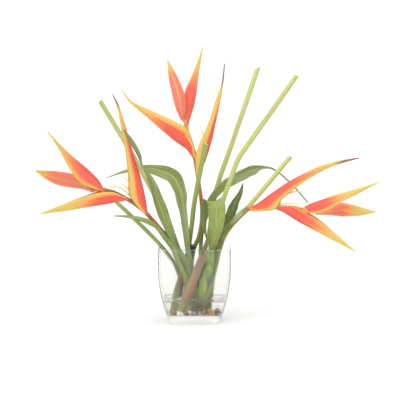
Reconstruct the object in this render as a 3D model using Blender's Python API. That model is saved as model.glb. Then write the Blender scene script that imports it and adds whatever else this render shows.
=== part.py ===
"""Three heliconia flower stems with leaves and bare cut stems, standing in a square glass vase.

Run in Blender 4.5. Sizes are in millimetres and are scaled to metres where the meshes are made.
The origin is the middle of the vase's foot, with +Z up and the viewer at -Y.
"""

import math
import random

import bmesh
import bpy
from mathutils import Vector

MM = 0.001

# Vase
FOOT_HALF = 47.8
RIM_HALF = 72.3
VASE_HEIGHT = 149.5
BELLY_HEIGHT = 125.0
BELLY_CURVE = 2.2
WALL = 3.2
BASE_THICK = 16.0
OUTER_CORNER = 6.0
INNER_CORNER = 3.0
CORNER_STEPS = 3
WATER_LEVEL = 44.5
GAP = 0.3
HOLE_GAP = 0.5
HOLE_DEEPER = 6.0
SUNK_LEAVES = (
    "leaf_arch_left", "leaf_twisted", "leaf_arch_right", "leaf_dark_right", "leaf_low_left",
)
SUNK_LEAF_RADIUS = 4.4

# Front view on which the stems, leaves and bracts are set out: across and up are millimetres
# from its middle, in the plane of the vase's axis, and depth is millimetres behind that plane.
VIEW_AIM = Vector((11.0, 0.0, 243.0))
VIEW_DISTANCE = 3600.0
VIEW_TILT = math.radians(3.9)

# How each piece leans: millimetres back for each millimetre away from the vase's mouth
MOUTH_UP = -100.0
LEAN_START = 55.0
LEAN_EASE = 60.0
LEANS = {
    "cut_stem_far_left": 0.15,
    "cut_stem_low_left": 0.1,
    "cut_stem_front": -0.1,
    "cut_stem_tall": 0.2,
    "cut_stem_bent": 0.05,
    "cut_stem_right": 0.1,
    "flower_stem_left": -0.25,
    "flower_stem_centre": 0.12,
    "flower_stem_right": -0.18,
    "leaf_front": 0.0,
    "leaf_arch_left": 0.3,
    "leaf_twisted": -0.25,
    "leaf_arch_right": 0.3,
    "leaf_dark_right": 0.1,
    "leaf_low_left": -0.2,
}

# Bracts
BRACT_WALL = 1.2
BRACT_RINGS = 13
BRACT_SIDE_POINTS = 7
LEAST_FOLD = 1.2
CLASP_GAP = 0.35

# Leaves
LEAF_THICK = 1.0
LEAF_RINGS = 17
LEAF_ACROSS = 5

# Stems
STEM_SIDES = 8
STALK_SIDES = 10
FLORET_SIDES = 5
FLORET_RADII = (1.4, 1.4, 1.2, 0.6)

COLOURS = {
    "glass": (0.86, 0.90, 0.90),
    "water": (0.80, 0.88, 0.90),
    "green_stem": (0.42, 0.55, 0.16),
    "flower_stem": (0.66, 0.36, 0.14),
    "bract": (0.90, 0.22, 0.10),
    "leaf": (0.24, 0.38, 0.10),
    "bulb": (0.34, 0.46, 0.12),
    "root": (0.22, 0.08, 0.03),
    "stalk": (0.32, 0.22, 0.12),
    "pebble": (0.45, 0.34, 0.24),
}
ROUGHNESS = {"glass": 0.05, "water": 0.02}
PLANT_ROUGHNESS = 0.5


def clear_scene():
    for thing in list(bpy.data.objects):
        bpy.data.objects.remove(thing)


def material(kind):
    found = bpy.data.materials.get(kind)
    if found:
        return found
    made = bpy.data.materials.new(kind)
    made.use_nodes = True
    shader = made.node_tree.nodes["Principled BSDF"]
    shader.inputs["Base Color"].default_value = (*COLOURS[kind], 1.0)
    shader.inputs["Roughness"].default_value = ROUGHNESS.get(kind, PLANT_ROUGHNESS)
    if kind in ("glass", "water"):
        shader.inputs["Transmission Weight"].default_value = 1.0
    return made


def seen(across, up, depth):
    """The point, in millimetres, that the front view shows at this place and depth."""
    scale = (VIEW_DISTANCE + depth) / VIEW_DISTANCE
    x = VIEW_AIM.x + across * scale
    z = VIEW_AIM.z + (up * scale - depth * math.sin(VIEW_TILT)) / math.cos(VIEW_TILT)
    return Vector((x, depth, z))


def route(*points, lean=0.0):
    """Points of the front view as places, leaning more the farther they are from the mouth."""
    out = []
    for across, up, depth in points:
        far = math.hypot(across, max(0.0, up - MOUTH_UP)) - LEAN_START
        if far > 0:
            depth += lean * far * far / (far + LEAN_EASE)
        out.append(seen(across, up, depth))
    return out


def along(values, t):
    """A smooth curve through evenly spaced values, vectors or numbers, read at t from 0 to 1."""
    spans = len(values) - 1
    place = min(max(t, 0.0), 1.0) * spans
    span = min(int(place), spans - 1)
    f = place - span
    p1, p2 = values[span], values[span + 1]
    p0 = values[span - 1] if span > 0 else p1 + (p1 - p2)
    p3 = values[span + 2] if span + 2 <= spans else p2 + (p2 - p1)
    rise = (p2 - p0) * 0.5
    fall = (p3 - p1) * 0.5
    return (
        p1 * (2 * f**3 - 3 * f**2 + 1)
        + rise * (f**3 - 2 * f**2 + f)
        + p2 * (3 * f**2 - 2 * f**3)
        + fall * (f**3 - f**2)
    )


def heading(points, t):
    step = 0.01
    return (along(points, min(t + step, 1.0)) - along(points, max(t - step, 0.0))).normalized()


def new_object(name, mesh, kind):
    for polygon in mesh.polygons:
        polygon.use_smooth = True
    mesh.materials.append(material(kind))
    made = bpy.data.objects.new(name, mesh)
    bpy.context.scene.collection.objects.link(made)
    return made


def loft_mesh(name, rings):
    """A closed skin over rings of equal counts, in millimetres, with flat ends.

    Both halves of a ring are split into triangles alike, so that the two faces of a thin wall
    stay apart where it waves.
    """
    count = len(rings[0])
    bm = bmesh.new()
    grid = [[bm.verts.new(point * MM) for point in ring] for ring in rings]
    for low, high in zip(grid, grid[1:]):
        for i in range(count):
            j = (i + 1) % count
            if i < count // 2:
                bm.faces.new((low[i], low[j], high[j]))
                bm.faces.new((low[i], high[j], high[i]))
            else:
                bm.faces.new((low[i], low[j], high[i]))
                bm.faces.new((low[j], high[j], high[i]))
    bm.faces.new(reversed(grid[0]))
    bm.faces.new(grid[-1])
    bmesh.ops.recalc_face_normals(bm, faces=bm.faces)
    if bm.calc_volume(signed=True) < 0:
        bmesh.ops.reverse_faces(bm, faces=bm.faces)
    mesh = bpy.data.meshes.new(name)
    bm.to_mesh(mesh)
    bm.free()
    return mesh


def tube_rings(path, radii, sides, rings, start_slant=0.0, end_slant=0.0):
    """Rings round a path. A slant leans an end's ring towards +X, as a knife's cut does."""
    out = []
    across = None
    for k in range(rings):
        t = k / (rings - 1)
        centre = along(path, t)
        ahead = heading(path, t)
        if across is None:
            across = ahead.cross(Vector((0, 1, 0))).normalized()
        across = (across - ahead * across.dot(ahead)).normalized()
        other = ahead.cross(across)
        radius = along(radii, t)
        slant = end_slant if k == rings - 1 else start_slant if k == 0 else 0.0
        ring = []
        for i in range(sides):
            angle = math.tau * i / sides
            offset = (across * math.cos(angle) + other * math.sin(angle)) * radius
            ring.append(centre + offset + ahead * (offset.x * slant))
        out.append(ring)
    return out


def tube(name, path, radii, kind, sides=STEM_SIDES, rings=9, start_slant=0.0, end_slant=0.0):
    mesh = loft_mesh(name, tube_rings(path, radii, sides, rings, start_slant, end_slant))
    return new_object(name, mesh, kind)


def join(name, pieces, kind):
    """One body from overlapping pieces, by a Boolean union that is applied."""
    group = bpy.data.collections.new(name)
    bpy.context.scene.collection.children.link(group)
    for piece in pieces[1:]:
        bpy.context.scene.collection.objects.unlink(piece)
        group.objects.link(piece)
    union = pieces[0].modifiers.new("union", "BOOLEAN")
    union.operation = "UNION"
    union.operand_type = "COLLECTION"
    union.collection = group
    union.solver = "EXACT"
    union.use_self = True
    bpy.context.view_layer.update()
    shape = pieces[0].evaluated_get(bpy.context.evaluated_depsgraph_get())
    mesh = bpy.data.meshes.new_from_object(shape)
    mesh.name = name
    for piece in list(pieces):
        bpy.data.objects.remove(piece)
    bpy.data.collections.remove(group)
    mesh.materials.clear()
    return new_object(name, mesh, kind)


def half_width(height):
    """Half the vase's outer width: it swells from the foot and is upright near the rim."""
    if height >= BELLY_HEIGHT:
        return RIM_HALF
    share = 1 - (1 - height / BELLY_HEIGHT) ** BELLY_CURVE
    return FOOT_HALF + (RIM_HALF - FOOT_HALF) * share


def square_ring(half, corner, height):
    points = []
    for quarter in range(4):
        for step in range(CORNER_STEPS + 1):
            angle = math.pi / 2 * (quarter + step / CORNER_STEPS)
            middle = math.pi / 2 * (quarter + 0.5)
            x = math.copysign(half - corner, math.cos(middle)) + corner * math.cos(angle)
            y = math.copysign(half - corner, math.sin(middle)) + corner * math.sin(angle)
            points.append(Vector((x, y, height)))
    return points


def make_vase():
    outer = [0.0, 8.0, 20.0, 36.0, 56.0, 80.0, 105.0, 125.0, VASE_HEIGHT - 1.0]
    inner = [105.0, 80.0, 56.0, 36.0, 22.0]
    rings = [square_ring(half_width(z), OUTER_CORNER, z) for z in outer]
    rings.append(square_ring(RIM_HALF - 1.0, OUTER_CORNER - 1.0, VASE_HEIGHT))
    rings.append(square_ring(RIM_HALF - WALL + 1.0, INNER_CORNER + 1.0, VASE_HEIGHT))
    rings.append(square_ring(RIM_HALF - WALL, INNER_CORNER, VASE_HEIGHT - 1.0))
    rings += [square_ring(half_width(z) - WALL, INNER_CORNER, z) for z in inner]
    floor_half = half_width(BASE_THICK) - WALL
    rings.append(square_ring(floor_half - 1.0, INNER_CORNER, BASE_THICK + 2.0))
    rings.append(square_ring(floor_half - 4.0, INNER_CORNER, BASE_THICK))
    return new_object("glass_vase", loft_mesh("glass_vase", rings), "glass")


def make_water(standing):
    """The water, with a plain hole round each thing that stands in it."""
    floor_half = half_width(BASE_THICK) - WALL
    rings = [square_ring(floor_half - 4.6, INNER_CORNER, BASE_THICK + GAP)]
    rings.append(square_ring(floor_half - 1.0 - GAP, INNER_CORNER, BASE_THICK + 2.0 + GAP))
    for z in (22.0, 36.0, WATER_LEVEL):
        rings.append(square_ring(half_width(z) - WALL - GAP, INNER_CORNER, z))
    water = new_object("water", loft_mesh("water", rings), "water")
    for hole in standing:
        hole.hide_render = True
        hole.display_type = "WIRE"
        cut = water.modifiers.new(hole.name, "BOOLEAN")
        cut.operation = "DIFFERENCE"
        cut.object = hole
        cut.solver = "EXACT"
    return water


# Each bare stem: its route from the foot to the cut top, its radius low and high, its top's slant
CUT_STEMS = {
    "cut_stem_far_left": (
        [(-24, -216, 14), (-26, -184, 8), (-28, -150, 5), (-44, -110, 4), (-66, -50, 12),
         (-89.5, 6, 16), (-129, 80, 18), (-150, 116, 16), (-199, 197, 12)],
        (4.3, 4.9), 0.3,
    ),
    "cut_stem_low_left": (
        [(-39, -198, 41), (-37, -176, 41), (-42, -150, 35), (-52, -126, 17), (-63, -110, 1),
         (-76, -94.5, -13), (-91, -78, -18), (-130, -39, -14), (-166, -5, -6), (-178, 8, -4)],
        (4.0, 4.1), 0.0,
    ),
    "cut_stem_front": (
        [(-28, -218, 38), (-28, -176, 38), (-29, -144, 37), (-26, -112, 31), (-21, -84, 26),
         (-16, -46, 15), (-12, -10, 2), (-3, 40, -14), (12, 112, -17)],
        (4.3, 4.7), -0.25,
    ),
    "cut_stem_tall": (
        [(-12, -218, 43), (-10, -186, 43), (-6, -156, 43), (0, -128, 43), (9, -100, 43),
         (17, -76, 43.5), (21, -50, 44.5), (25, -14, 46), (37.5, 38, 50), (58, 96, 53),
         (76.5, 150, 56), (96, 206, 58), (115, 262, 60)],
        (4.8, 5.0), 1.0,
    ),
    "cut_stem_bent": (
        [(4, -218, 30), (12, -170, 28), (22, -130, 27), (34, -72, 24), (44, -10, 20),
         (62, 44, 16), (75.5, 80, 12), (91, 104, 8), (142.5, 176, 0), (192.5, 248, -4)],
        (4.3, 5.2), 0.1,
    ),
    "cut_stem_right": (
        [(16, -218, 34), (22, -180, 31), (30, -140, 26), (45, -82, 18), (67, -46, 10),
         (100, -10, 6), (142, 40, 8), (180.5, 86.5, 10)],
        (4.3, 4.8), 0.45,
    ),
}


def make_cut_stems():
    for name, (points, (low, high), slant) in CUT_STEMS.items():
        radii = [low, low, (low + high) / 2, high, high]
        path = route(*points, lean=LEANS[name])
        tube(name, path, radii, "green_stem", rings=11, end_slant=slant)


# Each flower stem: its route from the foot to the last bract, and its florets
FLOWER_STEMS = {
    "flower_stem_left": (
        [(-20, -216, 2), (-24, -180, -2), (-32, -150, -7), (-48, -98, -12), (-60, -76, -16),
         (-74, -64, -20), (-106, -28, -30), (-130, -8, -32), (-150, 4, -35), (-170, 14.5, -38),
         (-192, 20.5, -42), (-204, 20, -43), (-214, 19, -43)],
        (4.3, 4.3, 4.0, 3.6, 2.6),
        [
            [(-132, -4, -33), (-142, 10, -35), (-158, 24, -38), (-178, 27.5, -40), (-192, 24, -41)],
            [(-130, -6, -33), (-136, 10, -30), (-146, 24, -27), (-158, 33, -25)],
            [(-130, -4, -33), (-136, 20, -30), (-144, 38, -29), (-158, 48, -28)],
        ],
    ),
    "flower_stem_centre": (
        [(-14, -218, 33), (-16, -176, 33), (-17, -146, 33), (-16, -120, 32), (-11.5, -96, 28),
         (-2, -72, 20), (4, -36, 12), (2.5, 0, 9), (-2, 30, 6), (-6, 56, 5), (-12, 90, 7),
         (-20, 120, 8), (-26, 146, 8), (-30, 158, 6)],
        (4.2, 4.2, 3.9, 3.6, 2.6),
        [
            [(-5, 62, 5), (-7, 78, 3), (-12, 92, -1), (-17, 112, -8), (-30, 130, -10)],
            [(-4, 58, 5), (2, 90, 2), (7, 116, 0), (5, 134, -1), (0, 148, -2)],
        ],
    ),
    "flower_stem_right": (
        [(18, -218, 22), (22, -180, 20), (26, -152, 14), (32, -129, 12), (38, -100, 8),
         (47, -72, 2), (69, -45, -4), (92, -22, -10), (100, -18, -12), (130, -16, -16),
         (160, -14, -20), (208, -19, -26), (232, -25, -24)],
        (4.3, 4.3, 4.0, 3.6, 2.8),
        [
            [(136, -16, -17), (154, -10, -21), (172, -7, -28), (190, -8, -33), (204, -13, -36),
             (215, -22, -37)],
            [(132, -16, -16), (152, -4, -17), (170, 9, -19), (184, 15.5, -20), (198, 17, -20),
             (212, 15, -20)],
        ],
    ),
}


def flower_stem_tubes(name, grow=0.0):
    points, radii, florets = FLOWER_STEMS[name]
    lean = LEANS[name]
    wide = [radius + grow for radius in radii]
    thin = [radius + grow for radius in FLORET_RADII]
    tubes = [tube(name, route(*points, lean=lean), wide, "flower_stem", rings=19)]
    for floret in florets:
        path = route(*floret, lean=lean)
        tubes.append(tube("floret", path, thin, "flower_stem", FLORET_SIDES, rings=7))
    return tubes


def make_flower_stems():
    for name in FLOWER_STEMS:
        join(name, flower_stem_tubes(name), "flower_stem")


# Each bract: its keel, its lips' middle line, and half its width at stations along it
BRACTS = {
    "bract_left_1": (
        [(-104, -30, -30), (-109, 4, -30), (-118, 44, -27), (-132, 90, -22),
         (-145.5, 138, -16), (-160.5, 186, -10), (-173.5, 211, -6)],
        [(-114, -25, -30), (-139, 6, -32), (-143, 48, -27), (-148.5, 96, -22),
         (-157, 144, -16), (-165, 185, -10), (-175, 210, -6)],
        (6.2, 8.0, 10.0, 9.0, 6.0, 2.4, 0.9),
    ),
    "bract_left_2": (
        [(-146, -1, -35), (-164, -4, -38), (-194, -10, -42), (-230, -15.5, -45),
         (-270, -22.5, -48), (-320, -28.5, -50)],
        [(-152, 6, -35), (-176, 16.5, -39), (-204, 15.5, -43), (-234, 6, -46),
         (-268, -6.5, -48), (-320, -27, -50)],
        (6.0, 7.5, 9.0, 8.0, 4.5, 0.8),
    ),
    "bract_left_3": (
        [(-190, 17, -42), (-201.5, 38.5, -44), (-224, 62, -47), (-250, 83.5, -50),
         (-278, 110, -52), (-304, 138, -54)],
        [(-198, 19.5, -42), (-218, 25.5, -44), (-241, 37, -47), (-261, 63, -50),
         (-284, 105, -52), (-305.5, 137, -54)],
        (5.2, 7.5, 9.0, 8.0, 4.5, 0.9),
    ),
    "bract_left_4": (
        [(-212, 18.6, -48), (-232, 28.5, -29), (-256, 37, -24), (-280, 42, -26),
         (-306, 50, -33), (-330, 59, -40)],
        [(-213, 18.6, -38), (-234, 29.5, -14), (-260, 40, -9), (-284, 45, -12),
         (-308, 52, -23), (-330, 59, -36)],
        (4.2, 8.5, 17.5, 18.0, 11.0, 0.9),
    ),
    "bract_centre_1": (
        [(-3, 46, 5), (12, 80, 4), (24, 120, 2), (32, 156, 0),
         (40, 194, -2), (46.5, 232, -4), (50, 272, -5)],
        [(-8, 52, 5), (-8, 88, 4), (-1, 113, 2), (18, 158, 0),
         (30.5, 197, -2), (42, 229, -4), (48, 271, -5)],
        (5.8, 7.2, 8.0, 7.0, 4.5, 2.0, 0.9),
    ),
    "bract_centre_2": (
        [(-16.5, 86, 7), (-28, 101.5, 7), (-50, 117, 4), (-80, 142, 1),
         (-110, 168, -2), (-140, 194, -6), (-156, 218, -8)],
        [(-5, 88, 7), (-23.5, 138, 8), (-52, 156.5, 4), (-82, 171, 1),
         (-112, 184.5, -2), (-138, 198.5, -6), (-154, 219, -8)],
        (5.6, 8.0, 10.0, 8.5, 5.5, 2.4, 0.9),
    ),
    "bract_centre_3": (
        [(-35, 161, -1), (-37.6, 184, -9), (-43, 212, -13), (-53, 243, -11),
         (-60, 264, -7), (-65, 280, -4)],
        [(-35, 163, 8), (-38.6, 186, 1), (-44, 212, -1), (-54, 243, -1),
         (-60, 264, -2), (-65, 280, -3)],
        (4.4, 11.5, 15.5, 12.0, 5.5, 0.9),
    ),
    "bract_centre_4": (
        [(-22.5, 150, 8), (-19, 164, 14), (-11.5, 188, 16), (-6, 220, 14),
         (-1.5, 256, 10), (7, 308, 4)],
        [(-31.5, 147, 8), (-30, 176, 15), (-30, 214, 16), (-18.5, 242, 14),
         (-5, 274, 10), (6.5, 308, 4)],
        (5.0, 8.0, 9.0, 7.0, 3.5, 0.8),
    ),
    "bract_right_1": (
        [(101, -13, -12), (116, -6, -14), (140, 11.5, -17), (174, 35, -20),
         (206, 52.5, -21), (244, 69.5, -22), (284, 79.5, -23), (318, 85, -24)],
        [(106, -22, -12), (150, -18, -18), (164, 0.5, -18), (186, 20, -20),
         (214, 40, -21), (250, 60.5, -22), (284, 73.5, -23), (318, 83, -24)],
        (6.0, 9.4, 10.4, 9.0, 7.0, 4.5, 2.2, 0.9),
    ),
    "bract_right_2": (
        [(153, -19.5, -20), (168, -25.5, -22), (194, -42, -24), (224, -58.5, -26),
         (264, -79.5, -28), (313, -105, -30)],
        [(156, -11, -20), (190, -12.5, -23), (211, -23, -24), (238, -39, -26),
         (273, -69, -28), (313, -104, -30)],
        (5.4, 7.5, 9.0, 8.0, 4.5, 0.8),
    ),
    "bract_right_3": (
        [(208, -14, -26), (220, -7.5, -29), (244, 1, -33), (272, 11, -34),
         (312, 22, -34), (360, 37, -34)],
        [(213, -24, -26), (240, -26.5, -33), (262, -17, -35), (282, -4.5, -34),
         (316, 12.5, -34), (360, 36, -34)],
        (5.4, 6.4, 7.4, 7.2, 4.5, 0.8),
    ),
    "bract_right_4": (
        [(232, -26.5, -26.5), (255, -26, -2), (280, -20.5, -1), (302, -21, -6),
         (326, -23.5, -16), (352, -23.5, -22)],
        [(233, -26.5, -16.5), (256, -25, 10), (280, -19, 12), (302, -20, 6),
         (326, -23, -7), (352, -23.5, -19)],
        (3.2, 5.4, 17.0, 16.0, 10.0, 0.9),
    ),
}


def bract_rings(keel, lip, widths, rings, tapered=True):
    """Rings of a folded bract: a keel with a wall each side, whose lips close away from its base."""
    out = []
    normal = None
    for k in range(rings):
        t = k / (rings - 1)
        low = along(keel, t)
        high = along(lip, t)
        fold = high - low
        if fold.length < LEAST_FOLD:
            fold = (fold.normalized() if fold.length > 0.1 else Vector((0, 0, 1))) * LEAST_FOLD
        ahead = (heading(keel, t) + heading(lip, t)).normalized()
        turned = ahead.cross(fold).normalized()
        if normal is not None and turned.dot(normal) < 0:
            turned.negate()
        normal = turned
        width = along(widths, t)
        lips = 1.0 - 0.5 * min(1.0, max(0.0, (t - 0.15) / 0.35)) * tapered
        solid = min(1.0, max(0.0, (t - 0.75) / 0.2)) * tapered
        floor = max(min(0.5, 1.6 * BRACT_WALL / fold.length), 0.9 * solid)
        narrow = max(0.35, 1.0 - BRACT_WALL / width)
        outer = []
        inner = []
        for i in range(BRACT_SIDE_POINTS):
            u = 2 * i / (BRACT_SIDE_POINTS - 1) - 1
            rise = abs(u) ** 1.6
            swell = 1 - (1 - abs(u)) ** 2
            swell *= 1 - (1 - lips) * abs(u) ** 3
            aside = math.copysign(width * swell, u)
            outer.append(low + fold * rise + normal * aside)
            inner.append(low + fold * (rise * (1 - floor) + floor) + normal * aside * narrow)
        out.append(outer + inner[::-1])
    return out


def make_bracts():
    """The bracts, each hollowed at its base for the stem that it clasps."""
    sleeves = {}
    for stem in FLOWER_STEMS:
        sleeve = join("sleeve_" + stem, flower_stem_tubes(stem, CLASP_GAP), "flower_stem")
        sleeve.hide_render = True
        sleeve.display_type = "WIRE"
        sleeves[stem.removeprefix("flower_stem_")] = sleeve
    for name, (keel, lip, widths) in BRACTS.items():
        flower = name.split("_")[1]
        lean = LEANS["flower_stem_" + flower]
        rings = bract_rings(route(*keel, lean=lean), route(*lip, lean=lean), widths, BRACT_RINGS)
        bract = new_object(name, loft_mesh(name, rings), "bract")
        cut = bract.modifiers.new("clasp", "BOOLEAN")
        cut.operation = "DIFFERENCE"
        cut.object = sleeves[flower]
        cut.solver = "MANIFOLD"


# Each sheath: the stem that it wraps, the stretch of it, its open side's opposite, and its flare
SHEATHS = {
    "sheath_left": ("flower_stem_left", 0.27, 0.41, (-0.8, 0.0, -0.6), 1.0),
    "sheath_right": ("flower_stem_right", 0.40, 0.62, (-0.7, 0.0, 0.7), 3.0),
}
SHEATH_WALL_OUT = 2.2
SHEATH_HALF = 6.1


def make_sheaths():
    for name, (stem, start, end, away, flare) in SHEATHS.items():
        points, radii, _ = FLOWER_STEMS[stem]
        path = route(*points, lean=LEANS[stem])
        keel = []
        lip = []
        for step in range(5):
            t = start + (end - start) * step / 4
            ahead = heading(path, t)
            out = Vector(away) - ahead * Vector(away).dot(ahead)
            out.normalize()
            bulge = flare * math.sin(math.pi * step / 4)
            keel.append(along(path, t) + out * (along(list(radii), t) + SHEATH_WALL_OUT + bulge))
            lip.append(along(path, t) - out)
        rings = bract_rings(keel, lip, [SHEATH_HALF] * 5, 7, tapered=False)
        new_object(name, loft_mesh(name, rings), "leaf")


# Each leaf: stations of across, up, depth, half width, and the way that its width runs
LEAVES = {
    "leaf_front": (
        [(21.4, -99, -8.2, 4.8, (1, 0, 0)), (27, -82, -14, 9.0, (1, 0, 0)),
         (32, -56, -20, 14.0, (1, 0, 0)), (33, -30, -22, 17.0, (1, 0.1, 0)),
         (32, -12, -21, 18.0, (1, 0.2, 0)), (25, -4, -14, 17.5, (1, 0.3, 0)),
         (16, -8, -3, 13.0, (1, 0.4, 0)), (9, -24, 4, 9.0, (0.9, 0.5, 0)),
         (9, -48, 6, 6.0, (0.8, 0.6, 0)), (13, -77, 6, 0.8, (0.8, 0.6, 0))],
        1.2,
    ),
    "leaf_arch_left": (
        [(-10, -218, 22, 3.5, (1, 0, 0)), (-14, -184, 16, 4.0, (1, 0, 0)),
         (-16, -140, 0, 4.5, (1, 0.3, 0)), (-25, -98, -1, 5.0, (1, 0.3, 0)),
         (-30, -56, 8, 7.5, (1, 0.5, 0.1)), (-37, -12, 18, 10.0, (0.9, 0.6, 0.2)),
         (-41.5, 19, 26, 13.0, (0.7, 0.5, 0.5)), (-53.5, 45, 36, 15.5, (0.55, 0.4, 0.8)),
         (-78, 56, 45, 12.5, (0.2, 0.5, 0.9)), (-110, 62, 50, 8.5, (0, 0.6, 0.8)),
         (-150, 56, 52, 4.5, (0, 0.8, 0.6)), (-187, 44, 52, 0.8, (0, 0.9, 0.5))],
        2.0,
    ),
    "leaf_twisted": (
        [(-18, -200, -8, 3.5, (1, 0, 0)), (-19, -172, -12, 4.0, (1, 0, 0)),
         (-27, -126, -19, 4.8, (1, 0, 0)), (-43, -100, -22, 5.5, (1, 0, 0.3)),
         (-52, -80, -22, 7.0, (1, 0, 0.3)), (-65, -50, -20, 9.5, (1, 0.1, 0.4)),
         (-76, -22, -16, 11.0, (1, 0.2, 0.4)), (-87, 8, -14, 10.0, (0.9, 0.4, 0.4)),
         (-97, 34, -18, 8.5, (0.7, 0.6, 0.3)), (-117, 70, -32, 5.0, (-0.2, 1, 0)),
         (-123.5, 92, -42, 4.8, (-0.8, 0.5, -0.3)), (-138, 118, -44, 4.6, (-1, 0.2, -0.5)),
         (-153, 141, -42, 0.8, (-1, 0.1, -0.6))],
        1.6,
    ),
    "leaf_arch_right": (
        [(-2, -210, 26, 3.5, (0.5, 1, 0)), (-1, -140, 24, 4.0, (0.8, 0.6, 0)),
         (1, -100, 27, 4.0, (1, 0.3, 0)), (3, -66, 29, 4.6, (1, 0.3, 0)),
         (10, -30, 29, 6.5, (1, 0.3, 0)), (24, 4, 30, 7.5, (0.9, 0.3, -0.3)),
         (47, 29, 33, 9.0, (0.7, 0.3, -0.7)), (68, 42, 36, 10.5, (0.5, 0.3, -0.8)),
         (86, 52, 40, 12.0, (0.4, 0.3, -0.9)), (104, 60, 44, 10.5, (0.2, 0.4, -0.9)),
         (126, 65.5, 49, 3.6, (0, 0.4, -0.9)), (150, 60, 52, 1.8, (-0.3, 0.5, -0.9)),
         (184, 31, 52, 1.8, (-0.5, 0.5, -0.8)), (216, -5, 50, 1.2, (-0.5, 0.5, -0.8))],
        2.0,
    ),
    "leaf_dark_right": (
        [(22, -196, 42, 3.5, (1, 0, 0)), (26, -160, 40, 4.0, (1, 0, 0)),
         (32, -124, 38, 4.0, (1, 0, 0)), (41, -84, 36, 5.0, (1, 0.2, 0)),
         (50, -52, 33, 7.5, (1, 0.3, 0)), (61, -26, 31, 10.5, (1, 0.3, -0.2)),
         (69, -6, 29, 8.5, (1, 0.4, -0.2)), (80, 14, 27, 5.0, (1, 0.4, -0.3)),
         (86, 34, 26, 0.8, (1, 0.4, -0.3))],
        1.2,
    ),
    "leaf_low_left": (
        [(-17, -207, -15, 3.4, (1, 0, 0)), (-20, -186, -17, 3.8, (1, 0, 0)),
         (-28, -162, -20, 4.2, (1, 0, 0.2)),
         (-36, -140, -26, 4.8, (1, 0, 0.3)), (-46, -116, -31, 5.0, (1, 0, 0.4)),
         (-55, -96, -34, 5.0, (1, 0, 0.5)), (-72, -74, -37, 4.2, (0.8, 0, 0.7)),
         (-86, -55, -38, 4.0, (0.6, 0, 0.8)), (-102, -44.5, -38, 5.2, (0.4, 0.2, 0.9)),
         (-124, -37, -36, 4.0, (0.1, 0.3, 1)), (-148, -33, -34, 2.4, (0, 0.3, 1)),
         (-172, -32, -32, 0.8, (0, 0.3, 1))],
        0.8,
    ),
}


def leaf_rings(stations, wave, lean, rings, across_points):
    """Rings of a thin blade with a folded rib and waved edges, thickest at the rib."""
    spine = route(*[station[:3] for station in stations], lean=lean)
    widths = [station[3] for station in stations]
    sides = [Vector(station[4]).normalized() for station in stations]
    out = []
    for k in range(rings):
        t = k / (rings - 1)
        centre = along(spine, t)
        ahead = heading(spine, t)
        side = along(sides, t)
        side = (side - ahead * side.dot(ahead)).normalized()
        normal = side.cross(ahead)
        width = along(widths, t)
        ripple = wave * min(1.0, max(0.0, (width - 5.0) / 5.0)) * math.sin(9.0 * math.tau * t / 2)
        top = []
        bottom = []
        for i in range(across_points):
            u = 2 * i / (across_points - 1) - 1
            lift = 0.28 * width * abs(u) ** 1.3 + ripple * u * abs(u)
            point = centre + side * (width * u) + normal * lift
            thick = LEAF_THICK * (1.5 - 0.7 * abs(u))
            top.append(point + normal * (thick / 2))
            bottom.append(point - normal * (thick / 2))
        out.append(top + bottom[::-1])
    return out


def make_leaves():
    for name, (stations, wave) in LEAVES.items():
        rings = leaf_rings(stations, wave, LEANS[name], LEAF_RINGS, LEAF_ACROSS)
        new_object(name, loft_mesh(name, rings), "leaf")


STALK_FRONT = (
    [(-40, -223, -36), (-28, -196, -35), (-16, -169, -33), (6.5, -110, -28)],
    [8.2, 8.4, 8.6, 7.6],
)
STALK_BACK = (
    [(-55, -219, 30), (-44, -180, 26), (-33, -146, 21), (-23.5, -118, 16), (-15, -90, 13)],
    [7.6, 8.2, 8.2, 8.0, 7.6],
)


def make_stalks():
    tube("stalk_front", route(*STALK_FRONT[0]), STALK_FRONT[1], "stalk", STALK_SIDES, 7,
         start_slant=0.1, end_slant=1.15)
    tube("stalk_back", route(*STALK_BACK[0]), STALK_BACK[1], "stalk", STALK_SIDES, 8,
         end_slant=-0.2)


BULB_ROUTE = [(4, -211, 0), (4, -204, 0), (4, -192, 0), (6, -176, 0), (9, -160, 0),
              (13, -146, -2), (18, -130, -4), (20, -114, -6), (21, -101, -8)]
BULB_RADII = [4.0, 9.5, 15.0, 18.5, 17.0, 12.5, 9.5, 8.4, 7.6]
BULB_SIDES = 12
BULB_RINGS = 14


def make_bulb():
    tube("leaf_bulb", route(*BULB_ROUTE), BULB_RADII, "bulb", BULB_SIDES, BULB_RINGS)


ROOT_X = 15.0
ROOT_REACH = 16.5
ROOTLETS = 14
# The rootlets that loop up beside the bulb: where they stand round it and how far each rises
ROOT_LOOPS = 6
LOOP_FROM = 196.0
LOOP_SPREAD = 46.0
LOOP_FOOT = 21.0
LOOP_LEAST = 0.65
# A loop's reach from the bulb's middle, and its height over its foot
LOOP_WAY = [(5.0, 1.0), (13.0, 0.0), (17.5, 5.0), (18.5, 16.0), (16.5, 22.0)]
LOOP_RADII = [1.5, 1.5, 1.4, 1.3, 0.9]


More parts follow.
